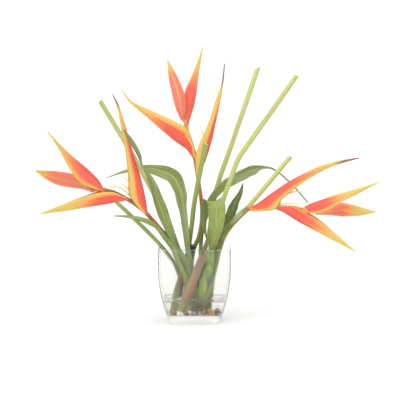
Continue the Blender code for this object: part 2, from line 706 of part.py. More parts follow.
def make_roots():
    """A mat of roots under the bulb: a flat core with curved rootlets sunk into it.

    Some rootlets at the left of its front loop up beside the bulb.
    """
    draw = random.Random(7)
    core = [Vector((ROOT_X, 0.0, z)) for z in (18.5, 21.0, 25.0, 27.0)]
    pieces = [tube("roots", core, [7.0, 10.0, 9.0, 5.0], "root", 9, 5)]
    for i in range(ROOTLETS):
        angle = math.tau * (i + draw.uniform(-0.3, 0.3)) / ROOTLETS
        reach = draw.uniform(0.8, 1.0) * ROOT_REACH
        out = Vector((math.cos(angle), 0.8 * math.sin(angle), 0))
        start = Vector((ROOT_X, 0.0, 22.5)) + out * 4
        middle = start + out * (reach * 0.4) + Vector((0, 0, draw.uniform(-1.0, 5.0)))
        end = Vector((ROOT_X, 0.0, 18.4)) + out * reach
        pieces.append(tube("rootlet", [start, middle, end], [1.3, 1.1, 0.8], "root", 5, 5))
    for i in range(ROOT_LOOPS):
        angle = math.radians(LOOP_FROM + LOOP_SPREAD * i / (ROOT_LOOPS - 1))
        out = Vector((math.cos(angle), math.sin(angle), 0))
        rise = draw.uniform(LOOP_LEAST, 1.0)
        path = [out * reach + Vector((ROOT_X, 0, LOOP_FOOT + up * rise)) for reach, up in LOOP_WAY]
        pieces.append(tube("loop", path, LOOP_RADII, "root", 5, 8))
    return join("bulb_roots", pieces, "root")


# Each pebble: its place and its height off the floor, its half sizes and its turn in degrees
PEBBLES = {
    "pebble_red": ((-15, -38, 0), (6.2, 5.0, 4.0), 10),
    "pebble_grey": ((0, -37, 0), (6.4, 5.0, 5.0), -15),
    "pebble_pink": ((10.5, -38, 0), (3.4, 4.4, 5.0), 5),
    "pebble_olive": ((19, -36, 0), (4.2, 5.0, 6.6), 0),
    "pebble_tan": ((33.5, -37, 0), (9.4, 6.0, 4.0), 4),
    "pebble_ochre": ((31.5, -35.5, 7.9), (8.2, 5.6, 3.4), -6),
    "pebble_dark": ((45.6, -18, 0), (6.8, 6.4, 8.6), 0),
    "pebble_pale": ((33.5, -9, 0), (6.0, 4.6, 4.2), -20),
    "pebble_brown": ((43, -3, 0), (4.0, 5.6, 3.8), 15),
    "pebble_white": ((40, 9, 0), (5.4, 5.0, 4.4), 40),
    "pebble_cream": ((-6, -26, 0), (5.2, 4.0, 3.2), 25),
    "pebble_rose": ((-40, -22, 0), (5.6, 5.0, 4.4), 12),
}
PEBBLE_FLOOR = BASE_THICK + GAP


def pebble(name, place, half, turn, grow=0.0):
    """A water-worn pebble: a ball pressed to its three sizes, with a seeded unevenness."""
    bm = bmesh.new()
    bmesh.ops.create_icosphere(bm, subdivisions=2, radius=1.0)
    draw = random.Random(name.removeprefix("hole_"))
    lean = [(Vector([draw.uniform(-1, 1) for _ in range(3)]).normalized(), draw.uniform(0, 0.14))
            for _ in range(4)]
    angle = math.radians(turn)
    for vertex in bm.verts:
        way = vertex.co.normalized()
        reach = 1 - sum(depth * max(0.0, way.dot(axis)) ** 3 for axis, depth in lean)
        x = way.x * reach * (half[0] + grow)
        y = way.y * reach * (half[1] + grow)
        z = way.z * reach * (half[2] + grow)
        across = x * math.cos(angle) - y * math.sin(angle)
        along_y = x * math.sin(angle) + y * math.cos(angle)
        vertex.co = Vector((place[0] + across, place[1] + along_y, z))
    lift = PEBBLE_FLOOR + place[2] - grow - min(vertex.co.z for vertex in bm.verts)
    for vertex in bm.verts:
        vertex.co = (vertex.co + Vector((0, 0, lift))) * MM
    mesh = bpy.data.meshes.new(name)
    bm.to_mesh(mesh)
    bm.free()
    return new_object(name, mesh, "pebble")


def make_pebbles():
    for name, (place, half, turn) in PEBBLES.items():
        pebble(name, place, half, turn)


def make_holes():
    """What the water leaves free: a plain hole round each thing that stands in it."""
    holes = []
    for name, (place, half, turn) in PEBBLES.items():
        holes.append(pebble("hole_" + name, place, half, turn, HOLE_GAP))
    for name, (points, (low, _), _) in CUT_STEMS.items():
        holes.append(hole(name, points[:4], [low], STEM_SIDES))
    for name, (points, radii, _) in FLOWER_STEMS.items():
        holes.append(hole(name, points[:4], [radii[0]], STEM_SIDES))
    for name in SUNK_LEAVES:
        holes.append(hole(name, [p[:3] for p in LEAVES[name][0][:4]], [SUNK_LEAF_RADIUS], 7))
    holes.append(hole("stalk_front", STALK_FRONT[0], STALK_FRONT[1], STALK_SIDES))
    holes.append(hole("stalk_back", STALK_BACK[0], STALK_BACK[1], STALK_SIDES))
    holes.append(hole("leaf_bulb", BULB_ROUTE, BULB_RADII, BULB_SIDES, 0.0, BULB_RINGS))
    mat = [Vector((ROOT_X, 0.0, z)) for z in (10.0, 30.0, 50.0)]
    holes.append(tube("hole_roots", mat, [ROOT_REACH + 4.0], "water", 14, 4))
    return holes


def hole(name, points, radii, sides, deeper=HOLE_DEEPER, rings=9):
    path = route(*points)
    down = (path[0] - path[1]).normalized()
    path[0] = path[0] + down * deeper
    wide = [radius + HOLE_GAP for radius in radii] * (2 if len(radii) == 1 else 1)
    return tube("hole_" + name, path, wide, "water", sides, rings)


def main():
    clear_scene()
    make_vase()
    make_water(make_holes())
    make_stalks()
    make_bulb()
    make_roots()
    make_pebbles()
    make_cut_stems()
    make_flower_stems()
    make_sheaths()
    make_bracts()
    make_leaves()


main()
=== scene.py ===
"""Dresses heliconia flower stems in a square glass vase, with one operator for each kind of piece.

Run in Blender 4.5. Point lists are in millimetres and meshes in metres. The origin is the middle
of the vase's foot, with +Z up and the viewer at -Y.
"""

import math
import random
from functools import partial

import bmesh
import bpy
from bpy.props import FloatProperty, FloatVectorProperty, IntProperty, PointerProperty
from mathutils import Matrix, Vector, noise


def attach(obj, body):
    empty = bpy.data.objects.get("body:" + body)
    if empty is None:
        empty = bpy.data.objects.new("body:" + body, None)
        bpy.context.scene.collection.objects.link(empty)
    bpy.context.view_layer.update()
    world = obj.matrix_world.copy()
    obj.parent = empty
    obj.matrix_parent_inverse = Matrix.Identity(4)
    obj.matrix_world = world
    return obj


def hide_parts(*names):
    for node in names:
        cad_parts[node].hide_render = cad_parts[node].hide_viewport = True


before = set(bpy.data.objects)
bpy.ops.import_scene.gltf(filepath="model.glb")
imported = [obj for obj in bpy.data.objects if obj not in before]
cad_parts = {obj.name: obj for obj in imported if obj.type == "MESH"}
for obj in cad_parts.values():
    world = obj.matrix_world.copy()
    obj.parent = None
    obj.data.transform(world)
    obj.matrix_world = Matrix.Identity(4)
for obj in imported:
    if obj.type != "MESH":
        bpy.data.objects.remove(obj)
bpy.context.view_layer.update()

bl_info = {
    "name": "Heliconia stems in a vase",
    "version": (1, 0, 0),
    "blender": (4, 5, 0),
    "location": "View3D > Sidebar > Heliconia",
    "description": "Builds the flowers, leaves, cut stems, vase, water, pebbles and studio",
    "category": "Object",
}

MM = 0.001
BODY = "root"

# Front view on which the stems, leaves and bracts are set out: across and up are millimetres
# from its middle, in the plane of the vase's axis, and depth is millimetres behind that plane.
VIEW_AIM = Vector((11.0, 0.0, 243.0))
VIEW_DISTANCE = 3600.0
VIEW_TILT = math.radians(3.9)
VIEW_LENS = 162.0
VIEW_SENSOR = 36.0

# How each piece leans: millimetres back for each millimetre away from the vase's mouth
MOUTH_UP = -100.0
LEAN_START = 55.0
LEAN_EASE = 60.0
LEANS = {
    "cut_stem_far_left": 0.15,
    "cut_stem_low_left": 0.1,
    "cut_stem_front": -0.1,
    "cut_stem_tall": 0.2,
    "cut_stem_bent": 0.05,
    "cut_stem_right": 0.1,
    "flower_stem_left": -0.25,
    "flower_stem_centre": 0.12,
    "flower_stem_right": -0.18,
    "leaf_front": 0.0,
    "leaf_arch_left": 0.3,
    "leaf_twisted": -0.25,
    "leaf_arch_right": 0.3,
    "leaf_dark_right": 0.1,
    "leaf_low_left": -0.2,
}

# Vase
FOOT_HALF = 47.8
RIM_HALF = 72.3
VASE_HEIGHT = 149.5
BELLY_HEIGHT = 125.0
BELLY_CURVE = 2.2
OUTER_CORNER = 6.0
INNER_CORNER = 3.0
CORNER_STEPS = 8
FLAT_SHARES = (0.008, 0.1, 0.3, 0.5, 0.7, 0.9, 0.992)
RECESS_HALF = 37.0
RECESS_DEPTH = 1.4
RECESS_CORNER = 5.0
FOOT_ROUND = 0.8
# Height that the rounding of the foot and the rim take together
ROUNDED = 2.0
WALL_STEPS = 30
WATER_STEPS = 8
WATER_GAP = 0.3
# How far the wall's plain rings keep from the floor and the rim
PLAIN_MARGIN = 6.0
# The water's edge: how far in from the glass each ring is, and how fast the creep dies away
EDGE_INSETS = (0.4, 1.0, 2.0, 3.4, 6.0)
CREEP_WIDTH = 1.3
# The floor's rounding: how far in from the wall, and how high over the floor
FLOOR_CURVE = ((0.5, 3.2), (1.6, 1.2), (3.2, 0.3), (5.0, 0.0))

# Fineness of the lofted pieces
BRACT_WALL = 1.2
BRACT_RINGS = 61
BRACT_SIDE_POINTS = 17
LEAST_FOLD = 1.2
# Where a bract's lips begin to close and where it begins to fill up, each with its reach
LIPS_CLOSE = (0.15, 0.35)
BRACT_FILLS = (0.75, 0.2)
FOLD_POWER = 1.6
LEAF_RINGS = 121
LEAF_ACROSS = 17
LEAF_THICK = 1.0
# A blade's thickness at its rib, and how much of that is lost at its edges
LEAF_PROFILE = (1.5, 0.7)
LEAF_FOLD = 0.28
LEAF_FOLD_POWER = 1.3
LEAF_WAVES = 9.0
LEAF_RUFFLE = 1.0
RUFFLE_TURNS = 61.0
RUFFLE_SKEW = 2.0
# A blade narrower than this has no waves, and one twice as wide has them in full
WAVED_HALF = 5.0
PATH_STEPS = 72
FLORET_STEPS = 24
FLORET_SIDES = 12
ROOT_SIDES = 5
ROOTLET_STEPS = 8
ROOT_STEPS = 12
STEM_RIDGES = 13

# Leaf bases of the bulb: fineness, how fast they narrow, and how far their two skins lie
BASE_RINGS = 37
BASE_ACROSS = 25
BASE_TAPER = 2.2
BASE_LEAST = 0.03
BASE_OUT = 0.2
BASE_IN = 0.6

# Worn stones: fineness, how deep a worn side is, how full they are, and how uneven
STONE_FINENESS = 5
STONE_WEAR = 0.14
STONE_REACH = 0.955
STONE_UNEVEN = 0.03
STONE_GRAIN = 1.7

# Thick stalks and flower stems: steps, sides, fine ridges in metres, and swelling at the knots
STALK_STEPS = 90
STALK_SIDES = 40
STALK_RIDGE = 0.00018
STALK_RIDGES = 11
STALK_SWELL = 0.05
RACHIS_STEPS = 110
RACHIS_SIDES = 32
RACHIS_RIDGE = 0.0001
RACHIS_RIDGES = 9
RACHIS_KNOTS = (0.62, 0.76, 0.9)
RACHIS_SWELL = 0.12
KNOT_WIDTH = 0.008

# A cut face's dish: each step's width in metres, its depth in millimetres and its mark of pith
CUT_DISH = ((0.0005, 0.0, 0.25), (0.0007, 0.25, 1.0), (0.0012, 0.0, 0.7))

# Patterns: how far apart pieces lie in the noise, and the spacing of veins and scars
SHEETS_APART = 17.0
TUBES_APART = 31.0
BRACT_VEINS = 1.4
STALK_SCARS = 0.16

# Studio, in metres and degrees
FLOOR_REACH = 30.0
FLOOR_DROP = 0.0003
KEY_WIDTH = 60
KEY_TURN = (38, -22, 0)


def linear(code):
    """An sRGB hex colour as the linear numbers that a shader takes."""
    parts = [int(code[i : i + 2], 16) / 255 for i in (1, 3, 5)]
    return tuple(v / 12.92 if v <= 0.04045 else ((v + 0.055) / 1.055) ** 2.4 for v in parts)


def colour(label, code, about):
    """A colour that the user may change."""
    return FloatVectorProperty(
        name=label, description=about, default=linear(code), subtype="COLOR", min=0.0, max=1.0
    )


def length(label, millimetres, about):
    """A length that the user may change, shown in metres."""
    return FloatProperty(
        name=label, description=about, default=millimetres * MM, unit="LENGTH", precision=4, min=0.0
    )


class VaseSettings(bpy.types.PropertyGroup):
    """Sizes and tint of the glass vase."""

    wall: length("Wall", 3.2, "Thickness of the vase's wall")
    base: length("Base", 16.0, "Thickness of the clear base under the water")
    tint: colour("Glass tint", "#FAFAF7", "Colour that the clear glass passes")


class WaterSettings(bpy.types.PropertyGroup):
    """Height and tint of the water."""

    level: length("Level", 44.5, "Height of the water's surface above the table")
    creep: length("Creep", 1.3, "How far the water's edge climbs the glass")
    tint: colour("Water tint", "#FDFDFB", "Colour that the water passes")


class StemSettings(bpy.types.PropertyGroup):
    """Shape and colours of the bare cut stems."""

    sides: IntProperty(name="Sides", description="Sides of each stem's section", default=32, min=8)
    ridge: length("Ridge", 0.07, "Height of the fine ridges along a stem")
    light: colour("Ripe green", "#CDDB80", "Yellow-green of the tall stems")
    dark: colour("Fresh green", "#7F963C", "Deeper green of the young stems")
    blush: colour("Blush", "#CDBC82", "Tan patches along the stems")
    pith: colour("Pith", "#E6E8B0", "Pale pith on a cut face")


class FlowerSettings(bpy.types.PropertyGroup):
    """Colours of the flower stems and their florets."""

    foot: colour("Foot green", "#7C9244", "Green of a flower stem in the vase")
    neck: colour("Neck", "#A5793C", "Brown where a stem leaves the vase")
    rachis: colour("Rachis", "#C07A3E", "Orange-brown between the bracts")
    floret: colour("Floret", "#F2CE6A", "Yellow of the thin florets")


class BractSettings(bpy.types.PropertyGroup):
    """Colours of the folded bracts."""

    heart: colour("Heart", "#F65440", "Hot coral red of a bract's sides")
    glow: colour("Glow", "#FF9A55", "Orange between the heart and the margins")
    margin: colour("Margin", "#E4C561", "Golden yellow of the lips")
    keel: colour("Keel", "#CDB763", "Yellow-green of the keel's line and parts of the lips")
    tip: colour("Tip", "#D6CC5E", "Yellow-green of a bract's far end")
    thread: colour("Thread", "#9A6A58", "Dry brown of the longest bracts' tips")
    deep: colour("Deep red", "#CC3226", "Darker red along a keel")
    # Painted highlight: pale pink for the highlight streaks and for the painted light on some
    # bracts
    bloom: colour("Bloom", "#FFA288", "Pale pink streaks over the red")


class LeafSettings(bpy.types.PropertyGroup):
    """Colours and veins of the leaves."""

    # Face and shade are the lightest and darkest greens, and each blade is given how dark it is
    face: colour("Face", "#9BAC4E", "Light green of a young blade")
    shade: colour("Shade", "#56692B", "Dark green of an older blade")
    under: colour("Underside", "#7C8F52", "Greyed green of the underside")
    rib: colour("Rib", "#BAC67E", "Pale green of the midrib")
    # Painted sheen: the greyish highlight laid over bent blades
    bloom: colour("Bloom", "#BEC9A2", "Greyish bloom on a bent blade")
    vein: length("Vein spacing", 1.6, "Distance between parallel veins, drawn coarser than life")


class BulbSettings(bpy.types.PropertyGroup):
    """Colours of the leaf bulb, its roots and the thick stalks."""

    green: colour("Bulb green", "#7C9636", "Green of the leaf bases")
    streak: colour("Streak", "#AEBF66", "Pale streaks along the leaf bases")
    dry: colour("Dry sheath", "#6E4C2E", "Brown of the dry outer sheath")
    root: colour("Root", "#7A3F22", "Wet reddish brown of the roots")
    rootlets: IntProperty(name="Rootlets", description="How many rootlets", default=150, min=10)
    loops: IntProperty(
        name="Loops", description="Rootlets that loop up the bulb", default=10, min=1
    )
    bark: colour("Stalk", "#9C7A58", "Reddish brown of the thick stalks")


class StageSettings(bpy.types.PropertyGroup):
    """Floor and studio light."""

    floor: colour("Floor", "#F4F4F4", "Pale floor")
    sky: FloatProperty(name="Soft light", description="Strength of the white room", default=1.0)
    key: FloatProperty(name="Key light", description="Strength of the soft key", default=1.3)


SETTINGS = (
    ("vase_set", VaseSettings),
    ("water_set", WaterSettings),
    ("stem_set", StemSettings),
    ("flower_set", FlowerSettings),
    ("bract_set", BractSettings),
    ("leaf_set", LeafSettings),
    ("bulb_set", BulbSettings),
    ("stage_set", StageSettings),
)


def seen(across, up, depth):
    """The point, in millimetres, that the front view shows at this place and depth."""
    scale = (VIEW_DISTANCE + depth) / VIEW_DISTANCE
    x = VIEW_AIM.x + across * scale
    z = VIEW_AIM.z + (up * scale - depth * math.sin(VIEW_TILT)) / math.cos(VIEW_TILT)
    return Vector((x, depth, z))


def route(*points, lean=0.0):
    """Points of the front view as places, leaning more the farther they are from the mouth."""
    out = []
    for across, up, depth in points:
        far = math.hypot(across, max(0.0, up - MOUTH_UP)) - LEAN_START
        if far > 0:
            depth += lean * far * far / (far + LEAN_EASE)
        out.append(seen(across, up, depth))
    return out


def along(values, t):
    """A smooth curve through evenly spaced values, vectors or numbers, read at t from 0 to 1."""
    spans = len(values) - 1
    place = min(max(t, 0.0), 1.0) * spans
    span = min(int(place), spans - 1)
    f = place - span
    p1, p2 = values[span], values[span + 1]
    p0 = values[span - 1] if span > 0 else p1 + (p1 - p2)
    p3 = values[span + 2] if span + 2 <= spans else p2 + (p2 - p1)
    rise = (p2 - p0) * 0.5
    fall = (p3 - p1) * 0.5
    return (
        p1 * (2 * f**3 - 3 * f**2 + 1)
        + rise * (f**3 - 2 * f**2 + f)
        + p2 * (3 * f**2 - 2 * f**3)
        + fall * (f**3 - f**2)
    )


def heading(points, t):
    """The way that a path runs at t."""
    step = 0.01
    return (along(points, min(t + step, 1.0)) - along(points, max(t - step, 0.0))).normalized()


# Kinds of node: its name in Blender, where its values go in order, the output that is read, and
# its settings. Numbers and capitalised words are inputs, and other words are settings.
KINDS = {
    "times": ("ShaderNodeMath", (0, 1), 0, {"operation": "MULTIPLY"}),
    "plus": ("ShaderNodeMath", (0, 1), 0, {"operation": "ADD"}),
    "times_plus": ("ShaderNodeMath", (0, 1, 2), 0, {"operation": "MULTIPLY_ADD"}),
    "size": ("ShaderNodeMath", (0,), 0, {"operation": "ABSOLUTE"}),
    "sine": ("ShaderNodeMath", (0,), 0, {"operation": "SINE"}),
    "mix": ("ShaderNodeMix", (0, 6, 7), 2, {"data_type": "RGBA"}),
    "ramp": ("ShaderNodeValToRGB", (0, "stops"), 0, {}),
    "stored": ("ShaderNodeAttribute", ("attribute_name",), "Fac", {}),
    "stored_way": ("ShaderNodeAttribute", ("attribute_name",), "Vector", {}),
    "noise": ("ShaderNodeTexNoise", ("Vector", "Scale", "Detail", "Distortion"), "Fac", {}),
    "bump": ("ShaderNodeBump", ("Strength", "Distance", "Height"), 0, {}),
    "point": ("ShaderNodeCombineXYZ", (0, 1, 2), 0, {}),
    "apart": ("ShaderNodeSeparateXYZ", (0,), None, {}),
    "places": ("ShaderNodeTexCoord", (), None, {}),
    "light_path": ("ShaderNodeLightPath", (), None, {}),
    "grown": ("ShaderNodeVectorMath", (0, "Scale"), 0, {"operation": "SCALE"}),
    "given": ("NodeGroupInput", (), None, {}),
    "result": ("NodeGroupOutput", ("Tubes",), None, {}),
    "to_curve": ("GeometryNodeMeshToCurve", ("Mesh",), 0, {}),
    "spline": ("GeometryNodeSplineParameter", (), "Factor", {}),
    "store": ("GeometryNodeStoreNamedAttribute", ("Geometry", "Name", "Value"), 0, {}),
    "circle": ("GeometryNodeCurvePrimitiveCircle", ("Resolution", "Radius"), 0, {}),
    "position": ("GeometryNodeInputPosition", (), 0, {}),
    "named": ("GeometryNodeInputNamedAttribute", ("Name",), "Attribute", {}),
    "to_mesh": ("GeometryNodeCurveToMesh", ("Curve", "Profile Curve", "Scale", "Fill Caps"), 0, {}),
    "normal": ("GeometryNodeInputNormal", (), 0, {}),
    "moved": ("GeometryNodeSetPosition", ("Geometry", "Offset"), 0, {}),
    "realized": ("GeometryNodeRealizeInstances", (0,), 0, {}),
    "coated": ("GeometryNodeSetMaterial", ("Geometry", "Material"), 0, {}),
}


def set_stops(elements, stops):
    """Gives a colour ramp its stops, each a place and a colour, or a number for a grey."""
    shades = [(*((s, s, s) if isinstance(s, float) else s), 1.0) for _, s in stops]
    for element, k in ((elements[0], 0), (elements[1], -1)):
        element.position = stops[k][0]
        element.color = shades[k]
    for (position, _), shade in list(zip(stops, shades))[1:-1]:
        elements.new(position).color = shade


def plug(node, values):
    """Gives a node its settings, a ramp's stops, and its inputs, fixed or linked to a socket."""
    for key, value in values.items():
        if key == "stops":
            set_stops(node.color_ramp.elements, value)
        elif isinstance(key, str) and key[0].islower():
            setattr(node, key, value)
        elif isinstance(value, bpy.types.NodeSocket):
            node.id_data.links.new(value, node.inputs[key])
        elif node.inputs[key].type == "RGBA":
            node.inputs[key].default_value = (*value[:3], 1.0)
        else:
            node.inputs[key].default_value = value


def add(tree, kind, *values, **settings):
    """Adds a node of this kind with its settings and links, and gives the output that is read."""
    name, places, output, fixed = KINDS[kind]
    made = tree.nodes.new(name)
    plug(made, {**fixed, **settings, **dict(zip(places, values))})
    return made.outputs if output is None else made.outputs[output]


def new_material(name):
    """A new material, and the function that adds a node to it."""
    made = bpy.data.materials.new(name)
    made.use_nodes = True
    return made, partial(add, made.node_tree)


def lay(node, paint, shade, share, *stops):
    """Lays a shade over the paint, as thickly as a ramp through these stops says."""
    return node("mix", node("ramp", share, stops), paint, shade)


def surfaced(made, values):
    """Gives a material's shader its values."""
    plug(made.node_tree.nodes["Principled BSDF"], values)
    return made


def placed(name, data):
    """A new object that holds this data, in the scene."""
    made = bpy.data.objects.new(name, data)
    bpy.context.scene.collection.objects.link(made)
    return made


def turned_to_mesh(bm, name):
    """A new mesh that holds what a bmesh does, which is given up."""
    mesh = bpy.data.meshes.new(name)
    bm.to_mesh(mesh)
    bm.free()
    return mesh


def square_to(way, ahead):
    """The way that is left of this one once it is made square to another."""
    return (way - ahead * way.dot(ahead)).normalized()


def finish_piece(name, mesh, finish, slot, *nodes):
    """Puts a finished mesh in the scene as the piece that stands for its CAD nodes."""
    for polygon in mesh.polygons:
        polygon.use_smooth = True
    if finish is not None:
        mesh.materials.clear()
        mesh.materials.append(finish)
    piece = placed(name, mesh)
    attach(piece, BODY)
    if nodes:
        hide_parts(*nodes)
    return piece


def loft(name, rings, marks=None):
    """A closed skin over rings of equal counts, in millimetres, with flat ends.

    Each mark is a name and a function of a ring's place and a point's index, stored as a number.
    """
    count = len(rings[0])
    bm = bmesh.new()
    layers = {key: bm.verts.layers.float.new(key) for key in marks or {}}
    grid = []
    for place, ring in enumerate(rings):
        row = []
        for index, point in enumerate(ring):
            vertex = bm.verts.new(point * MM)
            for key, layer in layers.items():
                vertex[layer] = marks[key](place / (len(rings) - 1), index)
            row.append(vertex)
        grid.append(row)
    for low, high in zip(grid, grid[1:]):
        for i in range(count):
            j = (i + 1) % count
            bm.faces.new((low[i], low[j], high[j], high[i]))
    bm.faces.new(reversed(grid[0]))
    bm.faces.new(grid[-1])
    bmesh.ops.recalc_face_normals(bm, faces=bm.faces)
    if bm.calc_volume(signed=True) < 0:
        bmesh.ops.reverse_faces(bm, faces=bm.faces)
    return turned_to_mesh(bm, name)


def mark_all(mesh, **numbers):
    """Stores the same number at every point, under each name."""
    for name, number in numbers.items():
        layer = mesh.attributes.get(name) or mesh.attributes.new(name, "FLOAT", "POINT")
        layer.data.foreach_set("value", [number] * len(mesh.vertices))
    return mesh


def sweep_tree():
    """Geometry Nodes: tubes with each path's own reach, finely ridged, from a mesh of paths."""
    found = bpy.data.node_groups.get("Sweep along paths")
    if found:
        return found
    tree = bpy.data.node_groups.new("Sweep along paths", "GeometryNodeTree")
    for label, kind in (
        ("Paths", "Geometry"),
        ("Sides", "Int"),
        ("Ridge height", "Float"),
        ("Ridges", "Float"),
        ("Finish", "Material"),
    ):
        tree.interface.new_socket(label, in_out="INPUT", socket_type="NodeSocket" + kind)
    tree.interface.new_socket("Tubes", in_out="OUTPUT", socket_type="NodeSocketGeometry")
    node = partial(add, tree)
    given = node("given")
    paths = node("store", node("to_curve", given["Paths"]), "along", node("spline"))
    ring = node("store", node("circle", given["Sides"], 1.0), "around", node("spline"))
    ring = node("store", ring, "ring", node("position"), data_type="FLOAT_VECTOR")
    tubes = node("to_mesh", paths, ring, node("named", "reach"), True)
    angle = node("times", node("named", "around"), given["Ridges"])
    swing = node("sine", node("times", angle, math.tau))
    lift = node("times", swing, given["Ridge height"])
    tubes = node("moved", tubes, node("grown", node("normal"), lift))
    tubes = node("coated", node("realized", tubes), given["Finish"])
    node("result", tubes)
    return tree


def sweep(name, paths, sides, finish, ridge=0.0, ridges=0.0):
    """Tubes as a plain mesh. Each path is a list of places and their radii, in millimetres."""
    mesh = bpy.data.meshes.new(name)
    points = [point * MM for path in paths for point, _ in path]
    edges = []
    start = 0
    for path in paths:
        edges += [(k, k + 1) for k in range(start, start + len(path) - 1)]
        start += len(path)
    mesh.from_pydata(points, edges, [])
    reach = mesh.attributes.new("reach", "FLOAT", "POINT")
    reach.data.foreach_set("value", [radius * MM for path in paths for _, radius in path])
    guide = placed(name + "_path", mesh)
    tree = sweep_tree()
    swept = guide.modifiers.new("Sweep", "NODES")
    swept.node_group = tree
    sockets = {item.name: item.identifier for item in tree.interface.items_tree}
    swept[sockets["Sides"]] = sides
    swept[sockets["Ridge height"]] = ridge
    swept[sockets["Ridges"]] = ridges
    swept[sockets["Finish"]] = finish
    bpy.context.view_layer.update()
    shape = guide.evaluated_get(bpy.context.evaluated_depsgraph_get())
    result = bpy.data.meshes.new_from_object(shape)
    guide.modifiers.clear()
    bpy.data.objects.remove(guide)
    result.name = name
    return result


def traced(path, radii, steps, knots=(), swell=0.0):
    """Places and radii along a smooth path, swollen a little at each knot."""
    out = []
    for k in range(steps):
        t = k / (steps - 1)
        bump = sum(math.exp(-(((t - knot) / KNOT_WIDTH) ** 2)) for knot in knots)
        out.append((along(path, t), along(radii, t) * (1 + swell * bump)))
    return out


def trim_ends(mesh, path, start_slant, end_slant):
    """Leans each end as a knife's cut does, and dishes its face, marked as pith."""
    ends = (
        (path[0], heading(path, 0.0), start_slant, 0.0),
        (path[-1], heading(path, 1.0), end_slant, 1.0),
    )
    bm = bmesh.new()
    bm.from_mesh(mesh)
    share = bm.verts.layers.float["along"]
    pith = bm.verts.layers.float.new("pith")
    for centre, ahead, slant, place in ends:
        for vertex in bm.verts:
            if abs(vertex[share] - place) < 0.0001:
                vertex.co += ahead * ((vertex.co.x - centre.x * MM) * slant)
    caps = [face for face in bm.faces if len(face.verts) > 4]
    for cap in caps:
        inward = -cap.normal.copy()
        for width, depth, mark in CUT_DISH:
            bmesh.ops.inset_individual(bm, faces=[cap], thickness=width, use_even_offset=False)
            for vertex in cap.verts:
                vertex.co += inward * (depth * MM)
                vertex[pith] = mark
        bmesh.ops.poke(bm, faces=[cap])
    bm.to_mesh(mesh)
    bm.free()
    return mesh


def half_width(height):
    """Half the vase's outer width: it swells from the foot and is upright near the rim."""
    if height >= BELLY_HEIGHT:
        return RIM_HALF
    share = 1 - (1 - height / BELLY_HEIGHT) ** BELLY_CURVE
    return FOOT_HALF + (RIM_HALF - FOOT_HALF) * share


def square_ring(half, corner, height):
    """A square with rounded corners. Points near the flats' ends keep them flat when smoothed."""
    bends = []
    for quarter in range(4):
        middle = math.pi / 2 * (quarter + 0.5)
        x = math.copysign(half - corner, math.cos(middle))
        y = math.copysign(half - corner, math.sin(middle))
        turns = [math.pi / 2 * (quarter + step / CORNER_STEPS) for step in range(CORNER_STEPS + 1)]
        bends.append(
            [Vector((x + corner * math.cos(a), y + corner * math.sin(a), height)) for a in turns]
        )
    points = []
    for bend, following in zip(bends, bends[1:] + bends[:1]):
        points += bend
        points += [bend[-1].lerp(following[0], share) for share in FLAT_SHARES]
    return points


def floor_rings(base, wall):
    """Rings where the vase's wall rounds into its floor, from the wall inwards."""
    half = half_width(base) - wall
    return [square_ring(half - inset, INNER_CORNER, base + lift) for inset, lift in FLOOR_CURVE]


def pressed_glass(tint):
    """Soda-lime glass pressed in a mould: clear and smooth, and so slightly uneven that what is
    behind it bends a little."""
    made, node = new_material("pressed_soda_lime_glass")
    slow = node("noise", node("places")["Object"], 28.0, 1.0)
    return surfaced(made, {
        "Base Color": tint,
        "Roughness": 0.0,
        "Alpha": 0.85,
        "IOR": 1.52,
        "Specular IOR Level": 0.2,
        "Transmission Weight": 1.0,
        "Normal": node("bump", 0.12, 0.0004, slow),
    })


def still_water(tint):
    """Tap water at rest: clear, with ripples too low to see except in its reflections."""
    made, node = new_material("still_water")
    ripple = node("noise", node("places")["Object"], 45.0, 1.0)
    return surfaced(made, {
        "Base Color": tint,
        "Roughness": 0.0,
        "IOR": 1.333,
        "Specular IOR Level": 0.3,
        "Transmission Weight": 1.0,
        "Normal": node("bump", 0.1, 0.0005, ripple),
    })


def streaks(node, first, second, first_scale, second_scale, tint, detail=3.0):
    """Noise drawn out along a piece, from two numbers that follow its surface."""
    lanes = (node("times", first, first_scale), node("times", second, second_scale))
    place = node("point", *lanes, node("times", tint, SHEETS_APART))
    return node("noise", place, 1.0, detail)


